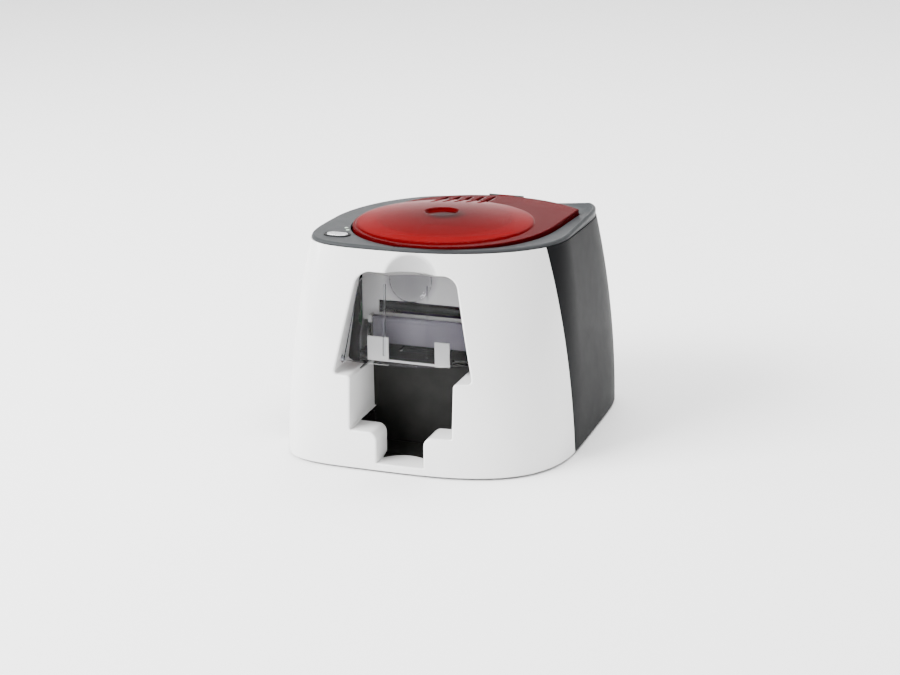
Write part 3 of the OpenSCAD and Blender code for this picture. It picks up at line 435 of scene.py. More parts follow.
def rounded(corners, steps=6):
    """Points of an outline whose corners (x, z, radius) are rounded; anticlockwise."""
    out = []
    count = len(corners)
    for i, (x, z, radius) in enumerate(corners):
        here = Vector((x, z))
        back = (Vector(corners[i - 1][:2]) - here).normalized()
        ahead = (Vector(corners[(i + 1) % count][:2]) - here).normalized()
        half = back.angle(ahead) / 2
        inset = radius / math.tan(half)
        centre = here + (back + ahead).normalized() * radius / math.sin(half)
        first = here + back * inset - centre
        last = here + ahead * inset - centre
        for k in range(steps + 1):
            spoke = (first * (1 - k / steps) + last * k / steps)
            out.append(tuple((centre + spoke.normalized() * radius) * MM))
    return out


def grown(outline, by):
    """The outline moved outward by a distance, corner by corner."""
    count = len(outline)
    out = []
    for i in range(count):
        p, here, q = (Vector(outline[i - 1]), Vector(outline[i]), Vector(outline[(i + 1) % count]))
        n1 = Vector(((here - p).y, -(here - p).x)).normalized()
        n2 = Vector(((q - here).y, -(q - here).x)).normalized()
        out.append(tuple(here + (n1 + n2) * by / (1 + n1.dot(n2))))
    return out


def off_edge(p, q, u, v):
    """Distance of a place from one straight edge of an outline."""
    here, run = Vector((u, v)), q - p
    share = max(0, min(1, (here - p).dot(run) / run.length_squared))
    return (here - p - run * share).length


def way_in(outline, u, v):
    """Direction from an outline's edge towards its inside, mitred at its corners."""
    found = []
    for p, q in zip(outline, outline[1:] + outline[:1]):
        p, q = Vector(p), Vector(q)
        run = q - p
        found.append((off_edge(p, q, u, v), -Vector((run.y, -run.x)).normalized()))
    found.sort(key=lambda item: item[0])
    first = found[0][1]
    second = found[1][1] if found[1][0] < 6e-5 else first
    return (first + second) / (1 + first.dot(second))


def roll_back(bm, run, outline, radius, steps=4):
    """Roll a run of edges round a quarter circle, until it runs straight back."""
    towards = {}
    for step in range(1, steps + 1):
        last, swing = (math.pi / 2 * k / steps for k in (step - 1, step))
        inward = (math.sin(swing) - math.sin(last)) * radius
        back = (math.cos(last) - math.cos(swing)) * radius
        known, towards = towards, {}

        def move(co, inward=inward, back=back, known=known, towards=towards):
            side = known.get(tuple(co)) or way_in(outline, co.x, co.z)
            new = Vector((co.x + side.x * inward, co.y + back, co.z + side.y * inward))
            towards[tuple(new)] = side
            return new
        run = extrude_rim(bm, run, move)
    return run


def in_front(point):
    """Whether a point is on the front, well inside the cover's sides."""
    return point.y < -0.07 and abs(point.x - CARD_X * MM) < 0.075


def on_opening(edge):
    """Whether an outer edge belongs to the card opening, and not to the cover's border."""
    mid = (edge.verts[0].co + edge.verts[1].co) / 2
    if not (in_front(mid) and 0.004 < mid.z < (FEED_TOP + 0.5 + ROLL) * MM):
        return False
    return min(off_edge(Vector(p), Vector(q), mid.x, mid.z) for p, q in rolled_pairs) < 8e-5


def go_back(co):
    """Run the rolled edge back as a return: deep and flared above the shoulders, shallow
    at the top, and with an arched front to the floor of the thumb slot."""
    x, z = co.x / MM - CARD_X, co.z / MM
    skin = front_at(co.x / MM, z)
    deep, flare = LEDGE_DEEP, 0
    if z > SHOULDER_Z - 0.5:
        climb = min(1, max(0, z - SHOULDER_Z - 1) / RETURN_TAPER)
        deep = RETURN_LOW - (RETURN_LOW - RETURN_HIGH) * climb
    if z > SHOULDER_Z + 1.5:
        flare = math.copysign(RETURN_FLARE, x)
    if z < FLOOR_Z + FLOOR_ROUND:
        tongue = front_at(CARD_X, FLOOR_Z) - 1 + math.sqrt(TONGUE_R ** 2 - (x - 1) ** 2) - skin
        deep += (tongue - deep) * (1 - max(0, z - FLOOR_Z) / FLOOR_ROUND)
    return Vector((co.x + flare * MM, (skin + deep) * MM, co.z))


def beside_hopper(v):
    """Whether a point of the returns lies on one of the hopper's two upright walls."""
    x, z = v.co.x / MM - CARD_X, v.co.z / MM
    return abs(abs(x) - OUT_W) < 0.3 and LEDGE_Z - 0.3 < z < SHOULDER_Z + 0.3


opening = rounded([
    (CARD_X - THUMB_W, FLOOR_Z, 1), (CARD_X + THUMB_W, FLOOR_Z, 1),
    (CARD_X + THUMB_W, LEDGE_Z, 7), (CARD_X + OUT_W, LEDGE_Z, 1.5),
    (CARD_X + OUT_W, SHOULDER_Z, 3), (CARD_X + FEED_W0, SHOULDER_Z, 3),
    (CARD_X + FEED_W1, FEED_TOP, 13), (CARD_X - FEED_W1, FEED_TOP, 13),
    (CARD_X - FEED_W0, SHOULDER_Z, 3), (CARD_X - OUT_W, SHOULDER_Z, 3),
    (CARD_X - OUT_W, LEDGE_Z, 1.5), (CARD_X - THUMB_W, LEDGE_Z, 7)])
front = cover_sheet((SPLIT_LEFT, SPLIT_FOOT), (SPLIT_LEFT, SPLIT_RIM), 170, 84)
press_dish(front, DISH_R, True, FEED_TOP)
rolled = grown(opening, ROLL * MM)
rolled_pairs = cut_outline(front, rolled, (0, 2), in_front)
mouth = roll_back(front, [e for e in outer_edges(front) if on_opening(e)], rolled, ROLL * MM)
mouth = extrude_rim(front, mouth, go_back)
hopper_walls = [e for e in mouth if all(beside_hopper(v) for v in e.verts)]
extrude_rim(front, hopper_walls, lambda co: Vector((co.x, HOPPER_DEEP * MM, co.z)))
white_gloss = Finish("glossy white shell", (0.86, 0.86, 0.855), 0.16, Coat_Weight=0.35,
                     Coat_Roughness=0.05, Specular_IOR_Level=0.5)
# Painted shade: the white is grey over the finger dish, so the hollow reads as shaded.
white_gloss.color(white_gloss.distance(DISH_SHADE_MIDDLE), [
    (0.0, (0.3, 0.3, 0.3)), (0.0195, (0.36, 0.36, 0.36)), (0.0212, (0.84, 0.84, 0.835))])
white_gloss.rough(white_gloss.noise(60, 4), 0.13, 0.2)
white_gloss.bump(white_gloss.noise(900, 2), 0.02)
front_shell = place("front_shell", front, white_gloss.material)
wall_up(front_shell, FRONT_WALL, 0.35)
settle(front_shell, "white_gloss", "printer_case", "front_cover", "dish_cup")


# Rear cover: a third anthracite shell that closes the back between the side panels. It has
# openings for the power inlet and the data socket, and a row of upright cooling slots.
SOCKET_Z = 26
HOLE_ROUND = 1.4
SLOT_COUNT, SLOT_STEP, SLOT_W, SLOT_X0, SLOT_Z0, SLOT_Z1 = 8, 9, 3, -20, 90, 130
rear_holes = [(3.6, SOCKET_Z - 0.4, 16.4, SOCKET_Z + 11.4),
              (37.6, SOCKET_Z - 0.4, 65.4, SOCKET_Z + 20.4)]
for k in range(SLOT_COUNT):
    slot_x = SLOT_X0 + SLOT_STEP * k
    rear_holes.append((slot_x, SLOT_Z0, slot_x + SLOT_W, SLOT_Z1))
rear = cover_sheet((REAR_START, REAR_END), (REAR_START, REAR_END), 110, 70)
for x0, z0, x1, z1 in rear_holes:
    hole = rounded([(x0, z0, HOLE_ROUND), (x1, z0, HOLE_ROUND), (x1, z1, HOLE_ROUND),
                    (x0, z1, HOLE_ROUND)], 3)
    cut_outline(rear, hole, (0, 2), lambda c: c.y > 0.05)
rear_shell = place("rear_shell", rear, anthracite.material)
wall_up(rear_shell, WALL, 0.5)
settle(rear_shell, "anthracite", "printer_case", "rear_cover")


# Top bezel: a flat grey moulding on the rim's slope, with a rolled outer edge that rises to
# a fin at the back right. It has the lid's seat, a little wider than the lid all round, a
# hole for the power button and two small ones for the lamps.
RIM_SLOPE = math.atan(RIM_FALL / DEPTH)
ROUND_TOP = 2.3
FIN, FIN_START, FIN_PEAK, FIN_END = 4.8, -20, 41, 54
LID_X, LID_Y, LID_R, LID_TIP, TIP_AT = 2, -15, 80, 37.5, 41
SEAT_GAP = 1.5
BUTTON_X, BUTTON_Y, BUTTON_HALF, BUTTON_ROUND = -74, -73, 11.4, 7.4
LAMPS, LAMP_R = ((-72, -56), (-76, -49)), 1.5
COUNT = 360
on_rim = (Matrix.Translation((0, -DEPTH / 2 * MM, RIM_FRONT * MM))
          @ Matrix.Rotation(-RIM_SLOPE, 4, "X") @ Matrix.Translation((0, DEPTH / 2 * MM, 0)))


def loft(rings, count):
    """A skin through closed rings of points; each ring is a function of the point's number."""
    bm = bmesh.new()
    spot = bm.verts.layers.int.new("spot")
    bmesh.ops.create_circle(bm, segments=count, radius=1)
    bm.verts.ensure_lookup_table()
    for k, v in enumerate(bm.verts):
        v[spot] = k
        v.co = rings[0](k)
    edges = bm.edges[:]
    for ring in rings[1:]:
        geom = bmesh.ops.extrude_edge_only(bm, edges=edges)["geom"]
        new = [item for item in geom if isinstance(item, bmesh.types.BMVert)]
        marks = set(new)
        for v in new:
            v.co = ring(v[spot])
        edges = [item for item in geom if isinstance(item, bmesh.types.BMEdge)
                 and all(v in marks for v in item.verts)]
    bmesh.ops.remove_doubles(bm, verts=bm.verts[:], dist=1e-6)
    bmesh.ops.dissolve_degenerate(bm, dist=1e-6, edges=bm.edges[:])
    bmesh.ops.recalc_face_normals(bm, faces=bm.faces[:])
    return bm


def punch(bm, outline, region=lambda c: True):
    """Cut an upright hole through a closed plate and give the hole its wall."""
    cut_outline(bm, outline, (0, 1), region)
    edges = outer_edges(bm)
    bmesh.ops.bridge_loops(bm, edges=edges)


def pill(x, y, half, radius, steps=10):
    """Outline of a round-ended slot lying along X; anticlockwise."""
    out = []
    for side, start in ((1, -90), (-1, 90)):
        for k in range(steps + 1):
            turn = math.radians(start + 180 * k / steps)
            out.append(((x + side * (half - radius) + radius * math.cos(turn)) * MM,
                        (y + radius * math.sin(turn)) * MM))
    return out


def lid_reach(degrees):
    """The lid's outline: a circle drawn out to a tip at the back right."""
    away = degrees - TIP_AT
    if away < 0:
        return LID_R + LID_TIP * math.exp(away / 19)
    return LID_R + LID_TIP * max(0, 1 - away / 100) ** 0.72


def lid_angle(k, count):
    """Evenly spread angles from -179 to 181 degrees, one of them exactly at the tip."""
    return (TIP_AT + 360 * k / count + 180) % 360 - 180


def lid_point(degrees, outward):
    reach = lid_reach(degrees) + outward
    turn = math.radians(degrees)
    return LID_X + reach * math.cos(turn), LID_Y + reach * math.sin(turn)


def fin(degrees):
    """Height of the fin: a long smooth rise to the back corner and a short fall."""
    if degrees < FIN_PEAK:
        share = max(0, (degrees - FIN_START) / (FIN_PEAK - FIN_START))
        return FIN * share * share * (3 - 2 * share)
    return FIN * max(0, 1 - (degrees - FIN_PEAK) / (FIN_END - FIN_PEAK)) ** 1.5


def bezel_ring(inset, height, raised=True):
    def at(k):
        point = case_point(math.radians(lid_angle(k, COUNT)), 1, inset)
        lift = fin(lid_angle(k, COUNT)) if raised else 0
        return Vector((point.x, point.y, (height + lift) * MM))
    return at


def seat_ring(grow, height):
    return lambda k: Vector((*lid_point(lid_angle(k, COUNT), SEAT_GAP + grow), height)) * MM


rolls = [bezel_ring(ROUND_TOP * (1 - math.sin(a)) + 0.05, -ROUND_TOP * (1 - math.cos(a)))
         for a in (math.radians(15 * k) for k in range(7))]
bezel = loft([seat_ring(0.5, 0), bezel_ring(ROUND_TOP + 3.2, 0, False)] + rolls
             + [bezel_ring(0.05, -BEZEL, False), seat_ring(0, -BEZEL),
                seat_ring(0, -0.5), seat_ring(0.15, -0.15), seat_ring(0.5, 0)], COUNT)
punch(bezel, pill(BUTTON_X, BUTTON_Y, BUTTON_HALF, BUTTON_ROUND))
for lamp_x, lamp_y in LAMPS:
    punch(bezel, pill(lamp_x, lamp_y, LAMP_R, LAMP_R, 6))
bmesh.ops.transform(bezel, matrix=on_rim, verts=bezel.verts[:])
rim_grey = Finish("satin grey rim", (0.1, 0.103, 0.107), 0.45, Specular_IOR_Level=0.04)
rim_grey.color(rim_grey.noise(25), [(0.3, (0.034, 0.036, 0.038)), (0.7, (0.04, 0.0425, 0.0445))])
rim_grey.rough(rim_grey.noise(90, 4), 0.3, 0.42)
rim_grey.bump(rim_grey.noise(2600, 2), 0.2)
settle(place("rim_plate", bezel, rim_grey.material), "anthracite", "printer_case", "top_bezel")


# Lid: one see-through red moulding that lifts to change the ribbon. It has a turned-down
# skirt, a shallow round dome over the cassette with a finger hollow in it, and five
# slanting air slots at the back.
LID_T, SKIRT, EDGE_ROUND = 2.4, 7, 1.1
DOME_X, DOME_Y, DOME_R, DOME_H = -2, -14, 74, 6
HUB_X, HUB_Y, HUB_R, HUB_DEEP = -8, -6, 14.5, 2.3
SLITS, SLIT_FIRST, SLIT_STEP = 5, Vector((-30.2, 52)), Vector((9.5, 2.9))
SLIT_HALF, SLIT_ROUND, SLIT_TURN = 18.5, 1.5, math.radians(86)
LID_COUNT = 288
dome_ball = (DOME_R ** 2 + DOME_H ** 2) / (2 * DOME_H)
on_lid = (Matrix.Translation((0, -DEPTH / 2 * MM, (RIM_FRONT + 1.5) * MM))
          @ Matrix.Rotation(math.radians(-1.15), 4, "X")
          @ Matrix.Translation((0, DEPTH / 2 * MM, 0)))


def smooth(low, high, value):
    share = max(0, min(1, (value - low) / (high - low)))
    return share * share * (3 - 2 * share)


def lid_height(x, y):
    """Height of the lid's top over its plane."""
    away = math.hypot(x - DOME_X, y - DOME_Y)
    height = 0.0
    if away < DOME_R + 0.4:
        dome = 1 + DOME_H - away ** 2 / (2 * dome_ball)
        height = dome * (1 - smooth(DOME_R - 0.5, DOME_R + 0.4, away))
    hub = math.hypot(x - HUB_X, y - HUB_Y)
    return height - HUB_DEEP * (1 - smooth(HUB_R - 2.2, HUB_R, hub))


def skirt_ring(inward, height):
    return lambda k: Vector((*lid_point(lid_angle(k, LID_COUNT), -inward), height)) * MM


def dome_ring(radius, drop):
    """A ring of the domed top; near the middle its centre moves over to the hollow's."""
    share = 1 - smooth(20, 44, radius)
    mid_x = DOME_X + (HUB_X - DOME_X) * share
    mid_y = DOME_Y + (HUB_Y - DOME_Y) * share

    def at(k):
        turn = math.radians(lid_angle(k, LID_COUNT))
        x, y = mid_x + radius * math.cos(turn), mid_y + radius * math.sin(turn)
        return Vector((x, y, lid_height(x, y) - drop)) * MM
    return at


skirt = [skirt_ring(2.2, -SKIRT), skirt_ring(1.9, -SKIRT), skirt_ring(0.3, -SKIRT),
         skirt_ring(0, -SKIRT + 0.3)]
skirt += [skirt_ring(EDGE_ROUND * (1 - math.cos(a)), -EDGE_ROUND * (1 - math.sin(a)))
          for a in (math.radians(18 * k) for k in range(6))]
# Rings from the dome's foot to the middle, closer together where the surface bends.
radii = [DOME_R + 0.5, DOME_R + 0.2, DOME_R - 0.2, DOME_R - 0.6, 72.5, 70]
radii += list(range(66, 18, -4)) + [19, 17, 15.4, 14.6, 14, 13.4, 12.8, 12.2, 10, 6, 3, 0]
lid_mesh = loft(skirt + [dome_ring(r, 0) for r in radii]
                + [dome_ring(r, LID_T) for r in radii[::-1]]
                + [skirt_ring(2.2, -LID_T), skirt_ring(2.2, -SKIRT)], LID_COUNT)
for k in range(SLITS):
    centre = (SLIT_FIRST + SLIT_STEP * k) * MM
    slit = [tuple(centre + Matrix.Rotation(SLIT_TURN, 2) @ Vector(p))
            for p in pill(0, 0, SLIT_HALF, SLIT_ROUND, 4)]
    punch(lid_mesh, slit, lambda c: c.z > -0.004)
bmesh.ops.transform(lid_mesh, matrix=on_lid, verts=lid_mesh.verts[:])
red_clear = Finish("deep red clear moulding", (0.5, 0.012, 0.02), 0.12, Transmission_Weight=0.5,
                   IOR=1.07, Specular_IOR_Level=0.08)
# Painted shade: nearly black over the hub's finger hollow, and a fine dark ring line of painted
# shadow round the inner dome. Outside the dome the red is duller.
red_clear.color(red_clear.distance((DOME_X * MM, DOME_Y * MM, 0.185)), [
    (0.0, (0.02, 0.0002, 0.0004)), (0.014, (0.03, 0.0003, 0.0006)),
    (0.0175, (0.1, 0.001, 0.002)), (0.056, (0.17, 0.0015, 0.003)),
    (0.0566, (0.03, 0.0003, 0.0006)), (0.0574, (0.2, 0.002, 0.004)),
    (0.0733, (0.24, 0.0025, 0.0045)), (0.0745, (0.09, 0.0006, 0.0018)),
    (0.13, (0.11, 0.0006, 0.0024))])
red_clear.rough(red_clear.noise(40, 3), 0.06, 0.12)
red_clear.bump(red_clear.noise(500, 2), 0.01)
lid_top = place("lid_moulding", lid_mesh, red_clear.material)
settle(lid_top, "red_clear", "lid", "lid_plate", "lid_dome")


# Lid knuckle: the moulded barrel behind the lid that turns on the steel hinge pin. A short
# flat arm of the same red plastic joins it to the lid's back edge.
joint_at = {joint["name"]: Vector(joint["pos_m"]) / MM for joint in frame["joints"]}
KNUCKLE_W, KNUCKLE_R, PIN_BORE = 14, 2.3, 1.15
ARM_T, ARM_LAP, ARM_SHORT, BACK_TURN = 2, 1.5, 1.9, 82


def barrel(half, inner, outer, chamfer=0.3):
    """A bored barrel along X, centred at the origin."""
    def ring(x, radius):
        return lambda k: Vector((x, radius * math.cos(math.tau * k / 48),
                                 radius * math.sin(math.tau * k / 48))) * MM
    return loft([ring(-half, inner), ring(-half, outer - chamfer), ring(-half + chamfer, outer),
                 ring(half - chamfer, outer), ring(half, outer - chamfer), ring(half, inner),
                 ring(-half, inner)], 48)


pin = joint_at["lid_hinge"]
knuckle = barrel(KNUCKLE_W / 2, PIN_BORE, KNUCKLE_R)
bmesh.ops.translate(knuckle, verts=knuckle.verts[:], vec=pin * MM)
lid_back = lid_point(BACK_TURN, 0)[1] - ARM_LAP
arm_end = pin.y - ARM_SHORT
arm = bmesh.ops.create_cube(knuckle, size=1)["verts"]
bmesh.ops.transform(knuckle, verts=arm, matrix=Matrix.Translation(
    Vector((pin.x, (arm_end + lid_back) / 2, pin.z)) * MM)
    @ Matrix.Diagonal((KNUCKLE_W * MM, (arm_end - lid_back) * MM, ARM_T * MM, 1)))
settle(place("lid_knuckle", knuckle, red_clear.material), "red_clear", "lid")


# Feeder window: a leaning, round shell of smoky clear plastic that closes the card feeder.
# It swings on two steel pins and has the lower half of the finger dish pressed into it.
GLASS_R, GLASS_T, GLASS_SET = 142, 2.2, 9.5
GLASS_X, GLASS_Z = CARD_X - 24.5, SHOULDER_Z
GLASS_Y = front_at(CARD_X, SHOULDER_Z) + GLASS_SET + GLASS_R
GLASS_LEAN = math.radians(4.3)
on_glass = (Matrix.Translation(Vector((GLASS_X, GLASS_Y, GLASS_Z)) * MM)
            @ Matrix.Rotation(-GLASS_LEAN, 4, "X"))
WINDOW_W0, WINDOW_W1, WINDOW_TOP, WINDOW_LOW, MIDDLE_LOW = 56, 38.5, 161.5, 82.5, 80.2
LEFT_GAP, RIGHT_GAP, MIDDLE_LEFT_GAP, MIDDLE_RIGHT_GAP = 0.6, 1.1, 3.8, 1.2
WINDOW_DISH_R = 16.6


def glass_sheet(turn0, turn1, low, high, radius, across, up):
    bm = bmesh.new()
    bmesh.ops.create_grid(bm, x_segments=across, y_segments=up, size=1)
    for v in bm.verts:
        turn = math.radians(turn0 + (turn1 - turn0) * (v.co.x + 1) / 2)
        height = low + (high - low) * (v.co.y + 1) / 2
        v.co = on_glass @ (Vector((radius * math.sin(turn), -radius * math.cos(turn), height)) * MM)
    bmesh.ops.recalc_face_normals(bm, faces=bm.faces[:])
    if sum(f.normal.y for f in bm.faces) > 0:
        bmesh.ops.reverse_faces(bm, faces=bm.faces[:])
    return bm


window_high = WINDOW_TOP - LEFT_GAP
taper = (WINDOW_W0 - WINDOW_W1) / (WINDOW_TOP - SHOULDER_Z)
foot_w = WINDOW_W0 - taper * (WINDOW_LOW - SHOULDER_Z)
middle_left, middle_right = CARD_X - OUT_W + MIDDLE_LEFT_GAP, CARD_X + OUT_W - MIDDLE_RIGHT_GAP
glass_outline = rounded([
    (CARD_X - foot_w + LEFT_GAP, WINDOW_LOW, 1.2), (middle_left, WINDOW_LOW, 0.3),
    (middle_left, MIDDLE_LOW, 0.5), (middle_right, MIDDLE_LOW, 0.5),
    (middle_right, WINDOW_LOW, 0.3), (CARD_X + foot_w - RIGHT_GAP, WINDOW_LOW, 1.2),
    (CARD_X + WINDOW_W1 - RIGHT_GAP, window_high, 12.5),
    (CARD_X - WINDOW_W1 + LEFT_GAP, window_high, 12.5)], 8)
glass = glass_sheet(-14, 34, -2, 88, GLASS_R, 150, 90)
press_dish(glass, WINDOW_DISH_R, False, window_high)
cut_outline(glass, glass_outline, (0, 2), lambda c: True, keep_inside=True)
mark_seams(glass)
clear = Finish("smoky clear moulding", (0.82, 0.83, 0.86), 0.03, Transmission_Weight=1.0,
               IOR=1.16, Specular_IOR_Level=0.3)
# Painted shade: the glass is darker over the lower half of the finger dish, so the hollow reads as
# shaded.
clear.color(clear.distance(DISH_SHADE_MIDDLE), [
    (0.0, (0.4, 0.4, 0.43)), (0.0185, (0.55, 0.55, 0.58)), (0.0205, (0.9, 0.91, 0.93))])
clear.rough(clear.noise(30, 3), 0.01, 0.04)
clear.bump(clear.noise(300, 2), 0.01)
window = place("feeder_window", glass, clear.material)
wall_up(window, GLASS_T, 0.45)
settle(window, "clear_plastic", "feeder_door", "feeder_cover")


# Ribs and lugs of the window: two upright ribs moulded behind it keep it stiff, and a
# bored lug at each lower corner turns on a steel pin. All are the same clear plastic.
RIBS, RIB_TURN, RIB_LOW, RIB_HIGH, RIB_DEEP = (-18, 16.5), 0.35, 5, 64, 2.2
LUGS, LUG_HALF, LUG_BORE, LUG_R = (-54.6, 52.6), 1.2, 2.06, 3.5
HINGE_TURN = math.radians(8.3)


def join(bm, other):
    """Add a finished bmesh to another one."""
    mesh = bpy.data.meshes.new("joined")
    other.to_mesh(mesh)
    other.free()
    bm.from_mesh(mesh)
    bpy.data.meshes.remove(mesh)


ribs = bmesh.new()
rib_face = GLASS_R - GLASS_T
for rib_x in RIBS:
    turn = math.degrees(math.asin((CARD_X + rib_x - GLASS_X) / (GLASS_R - 2)))
    rib = glass_sheet(turn - RIB_TURN, turn + RIB_TURN, RIB_LOW, RIB_HIGH, rib_face + 0.1, 2, 30)
    bmesh.ops.solidify(rib, geom=rib.faces[:], thickness=RIB_DEEP * MM)
    join(ribs, rib)
hinge = joint_at["feeder_door_hinge"]
for lug_x in LUGS:
    lug = barrel(LUG_HALF, LUG_BORE, LUG_R)
    at = Vector((hinge.x + lug_x, hinge.y + lug_x * math.tan(HINGE_TURN), hinge.z)) * MM
    bmesh.ops.transform(lug, verts=lug.verts[:], matrix=Matrix.Translation(at)
                        @ Matrix.Rotation(HINGE_TURN, 4, "Z"))
    join(ribs, lug)
window_ribs = place("window_ribs", ribs, clear.material, smooth=False)
rib_edges = window_ribs.modifiers.new("edges", "BEVEL")
rib_edges.width = 0.25 * MM
rib_edges.segments = 2
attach(window_ribs, "feeder_door")


# Power button: a satin silver pill with a dished top, moulded on a round stem that presses
# the switch on the board below it.
CAP_HALF, CAP_ROUND, STEM_R = 9, 5, 2


def pill_ring(half, radius, height, count=64):
    """A ring of a round-ended shape along X, on the rim's slope at the button's place."""
    def at(k):
        turn = math.tau * (k + 0.5) / count
        shift = (half - radius) * (1 if math.cos(turn) > 0 else -1)
        return on_rim @ (Vector((BUTTON_X + shift + radius * math.cos(turn),
                                 BUTTON_Y + radius * math.sin(turn), height)) * MM)
    return at


cap_profile = [(0, -3), (0, 0.6), (0.15, 0.95), (0.5, 1.15), (1, 1.2), (2, 1.05), (3.5, 0.85),
               (4.8, 0.8), (5, 0.8)]
button = loft([pill_ring(0, 0, -9), pill_ring(STEM_R, STEM_R, -9), pill_ring(STEM_R, STEM_R, -3)]
              + [pill_ring(CAP_HALF - inset, CAP_ROUND - inset, height)
                 for inset, height in cap_profile], 64)
silver = Finish("satin silver", (0.62, 0.63, 0.65), 0.28, Metallic=0.8)
silver.color(silver.noise(60), [(0.3, (0.58, 0.59, 0.61)), (0.7, (0.66, 0.67, 0.69))])
silver.rough(silver.noise(200, 4), 0.22, 0.34)
settle(place("button_cap", button, silver.material), "silver_plastic", "button", "push_button")


# Button ring: a black plastic collar let into the bezel. Its rounded lip stands just proud
# of the grey plate, and its floor is bored for the button's stem.
STEM_BORE = 2.06
collar_profile = [(0, -6), (0, 0.2), (0.2, 0.62), (0.6, 0.8), (1.2, 0.72), (1.9, 0.3), (2.1, 0),
                  (2.1, -4.5)]
collar_rings = [pill_ring(BUTTON_HALF - inset, BUTTON_ROUND - inset, height)
                for inset, height in collar_profile]
collar = loft(collar_rings + [pill_ring(STEM_BORE, STEM_BORE, -4.5),
                              pill_ring(STEM_BORE, STEM_BORE, -6), collar_rings[0]], 64)
black = Finish("black plastic ring", (0.004, 0.004, 0.0045), 0.4, Specular_IOR_Level=0.1)
black.color(black.noise(40), [(0.3, (0.0035, 0.0035, 0.004)), (0.7, (0.005, 0.005, 0.0055))])
black.rough(black.noise(120, 4), 0.36, 0.44)
settle(place("button_collar", collar, black.material), "dark_plastic", "printer_case",
       "button_ring")


# Base tray and feet: a flat moulded tray of dark plastic that carries everything, on four
# rubber feet pressed into its underside.
def inner_finish(name, low, high, roughness, grain, metal=0.0):
    """A finish for an inner part: two close tones, with the grain's fineness given."""
    finish = Finish(name, low, roughness, Metallic=metal, Specular_IOR_Level=0.5 if metal else 0.2)
    finish.color(finish.noise(grain, 4), [(0.35, low), (0.65, high)])
    finish.rough(finish.noise(grain * 2, 3), roughness * 0.85, min(1, roughness * 1.2))
    finish.bump(finish.noise(grain * 8, 2), 0.08)
    return finish.material


def dress(material, *nodes):
    """Give CAD nodes their finish; their meshes and places stay as they are."""
    for name in nodes:
        mesh = frame["nodes"][name].data
        mesh.materials.clear()
        mesh.materials.append(material)


dark_moulding = inner_finish("dark moulding", (0.006, 0.006, 0.0055), (0.011, 0.011, 0.010),
                             0.5, 60)
black_rubber = inner_finish("black rubber", (0.012, 0.012, 0.012), (0.02, 0.02, 0.02), 0.8, 200)
dress(dark_moulding, "base_tray")
dress(black_rubber, "rubber_feet")


# Chassis: two folded sheet steel plates that stand on the tray, four blackened bars
# between them, and the six bright screws that hold the plates down.
sheet_steel = inner_finish("sheet steel", (0.22, 0.225, 0.235), (0.28, 0.285, 0.295),
                           0.4, 220, 1.0)
black_steel = inner_finish("blackened steel", (0.008, 0.008, 0.009), (0.014, 0.014, 0.015),
                           0.45, 120)
bright_steel = inner_finish("bright steel", (0.3, 0.3, 0.31), (0.38, 0.38, 0.4), 0.3, 150, 1.0)
dress(sheet_steel, "chassis_left_plate", "chassis_right_plate")
dress(black_steel, "cross_bars")
dress(bright_steel, "chassis_screws")


# Lid fittings: the darker ring inside the lid and the hook moulded at its front, the
# latch that catches the hook with its guide, and the hinge pin in its bracket.
ring_red = inner_finish("dark red ring", (0.09, 0.002, 0.004), (0.13, 0.004, 0.006), 0.3, 50)
hook_red = inner_finish("red hook", (0.3, 0.004, 0.01), (0.34, 0.006, 0.012), 0.15, 30)
dress(ring_red, "lid_inner_ring")
dress(hook_red, "lid_hook")
dress(dark_moulding, "lid_catch", "catch_guide", "hinge_bracket")
dress(bright_steel, "lid_hinge_pin")


# Card way: the dark feeder tray and output hopper, the pale lip and back plate that show
# round the cards, and the grey flap on its steel pin. The window turns on pins of its own.
pale_plastic = inner_finish("pale plastic", (0.4, 0.39, 0.38), (0.46, 0.45, 0.44), 0.4, 30)
flap_grey = inner_finish("grey flap", (0.1, 0.09, 0.11), (0.13, 0.12, 0.14), 0.4, 40)
dress(dark_moulding, "feeder_tray", "output_hopper")
dress(pale_plastic, "feeder_lip", "feeder_back")
dress(flap_grey, "card_flap")
dress(bright_steel, "flap_pin", "feeder_cover_pins")


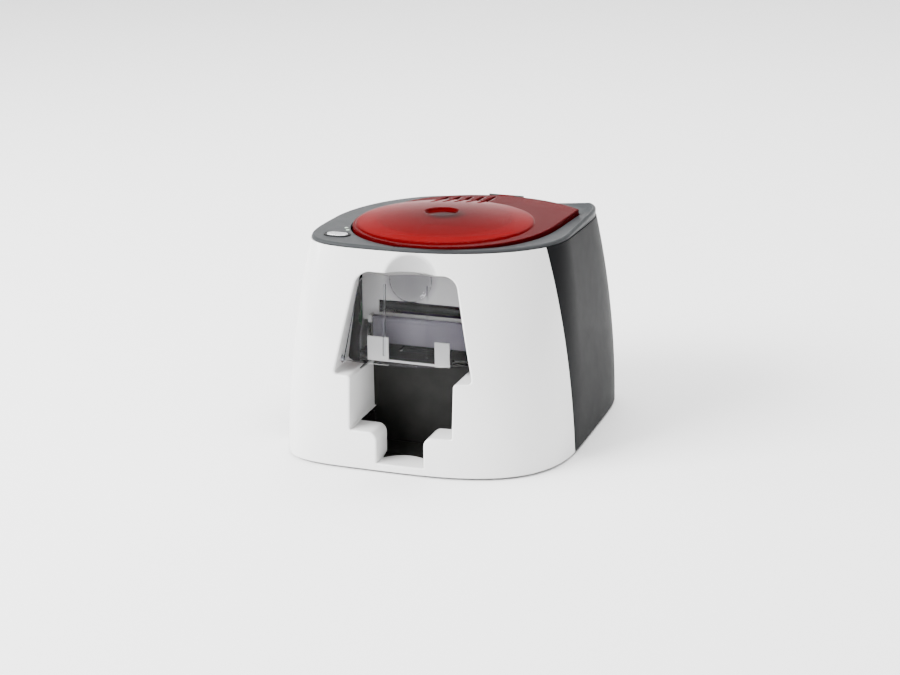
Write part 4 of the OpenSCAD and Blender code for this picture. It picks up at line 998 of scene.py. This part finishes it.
# Rollers: black rubber sleeves moulded on ground steel shafts, which run in bronze bushes.
# Two steel pinch rollers press the card down, and a tacky blue roller cleans it.
sleeve_rubber = inner_finish("roller rubber", (0.014, 0.014, 0.014), (0.026, 0.026, 0.027),
                             0.7, 400)
tacky_blue = inner_finish("tacky blue rubber", (0.03, 0.1, 0.36), (0.05, 0.15, 0.45), 0.6, 300)
bronze = inner_finish("bush bronze", (0.42, 0.28, 0.11), (0.52, 0.36, 0.16), 0.35, 300, 0.9)
dress(sleeve_rubber, "feed_roller", "front_roller", "platen_roller", "rear_roller")
dress(bright_steel, "feed_shaft", "front_shaft", "platen_shaft", "rear_shaft",
      "front_pinch_roller", "rear_pinch_roller")
dress(tacky_blue, "cleaning_roller")
dress(bronze, "roller_bushes")


# Drive: the main motor turns the roller shafts through two rubber belts, and a second,
# smaller motor winds the ribbon. Both motors have plated steel cans.
motor_can = inner_finish("motor can", (0.16, 0.165, 0.18), (0.22, 0.225, 0.24), 0.3, 120, 0.9)
dress(motor_can, "main_motor", "ribbon_motor")
dress(bright_steel, "motor_shaft")
dress(black_rubber, "motor_belt", "transport_belt")


# Print head: a black ceramic strip under a sheet steel arm, with an aluminium heat sink on
# top. The arm lifts on a steel pivot, and wire springs press the head on the ribbon.
ceramic = inner_finish("head ceramic", (0.02, 0.02, 0.022), (0.05, 0.05, 0.055), 0.3, 260)
aluminium = inner_finish("sink aluminium", (0.5, 0.51, 0.53), (0.62, 0.63, 0.65), 0.4, 180, 1.0)
dress(sheet_steel, "head_arm")
dress(ceramic, "print_head")
dress(aluminium, "heat_sink")
dress(bright_steel, "head_pivot", "head_springs")


# Ribbon cassette: a dark plastic frame that drops in from above, with the violet ribbon
# film wound from the supply spool to the take-up spool.
violet = inner_finish("ribbon violet", (0.034, 0.008, 0.055), (0.04, 0.0095, 0.064), 0.35, 90)
dress(dark_moulding, "cassette_frame")
dress(violet, "supply_spool", "takeup_spool", "ribbon_film")


# Boards: the green control board with the dark sockets behind the rear cover, and the small
# board under the bezel that carries the switch and the two lamps.
board_green = inner_finish("circuit board", (0.01, 0.07, 0.025), (0.02, 0.12, 0.045), 0.4, 350)
lamp_green = inner_finish("lamp lens", (0.3, 0.38, 0.3), (0.4, 0.48, 0.4), 0.2, 90)
dress(board_green, "control_board", "button_board")
dress(dark_moulding, "rear_sockets")
dress(lamp_green, "status_lamps")
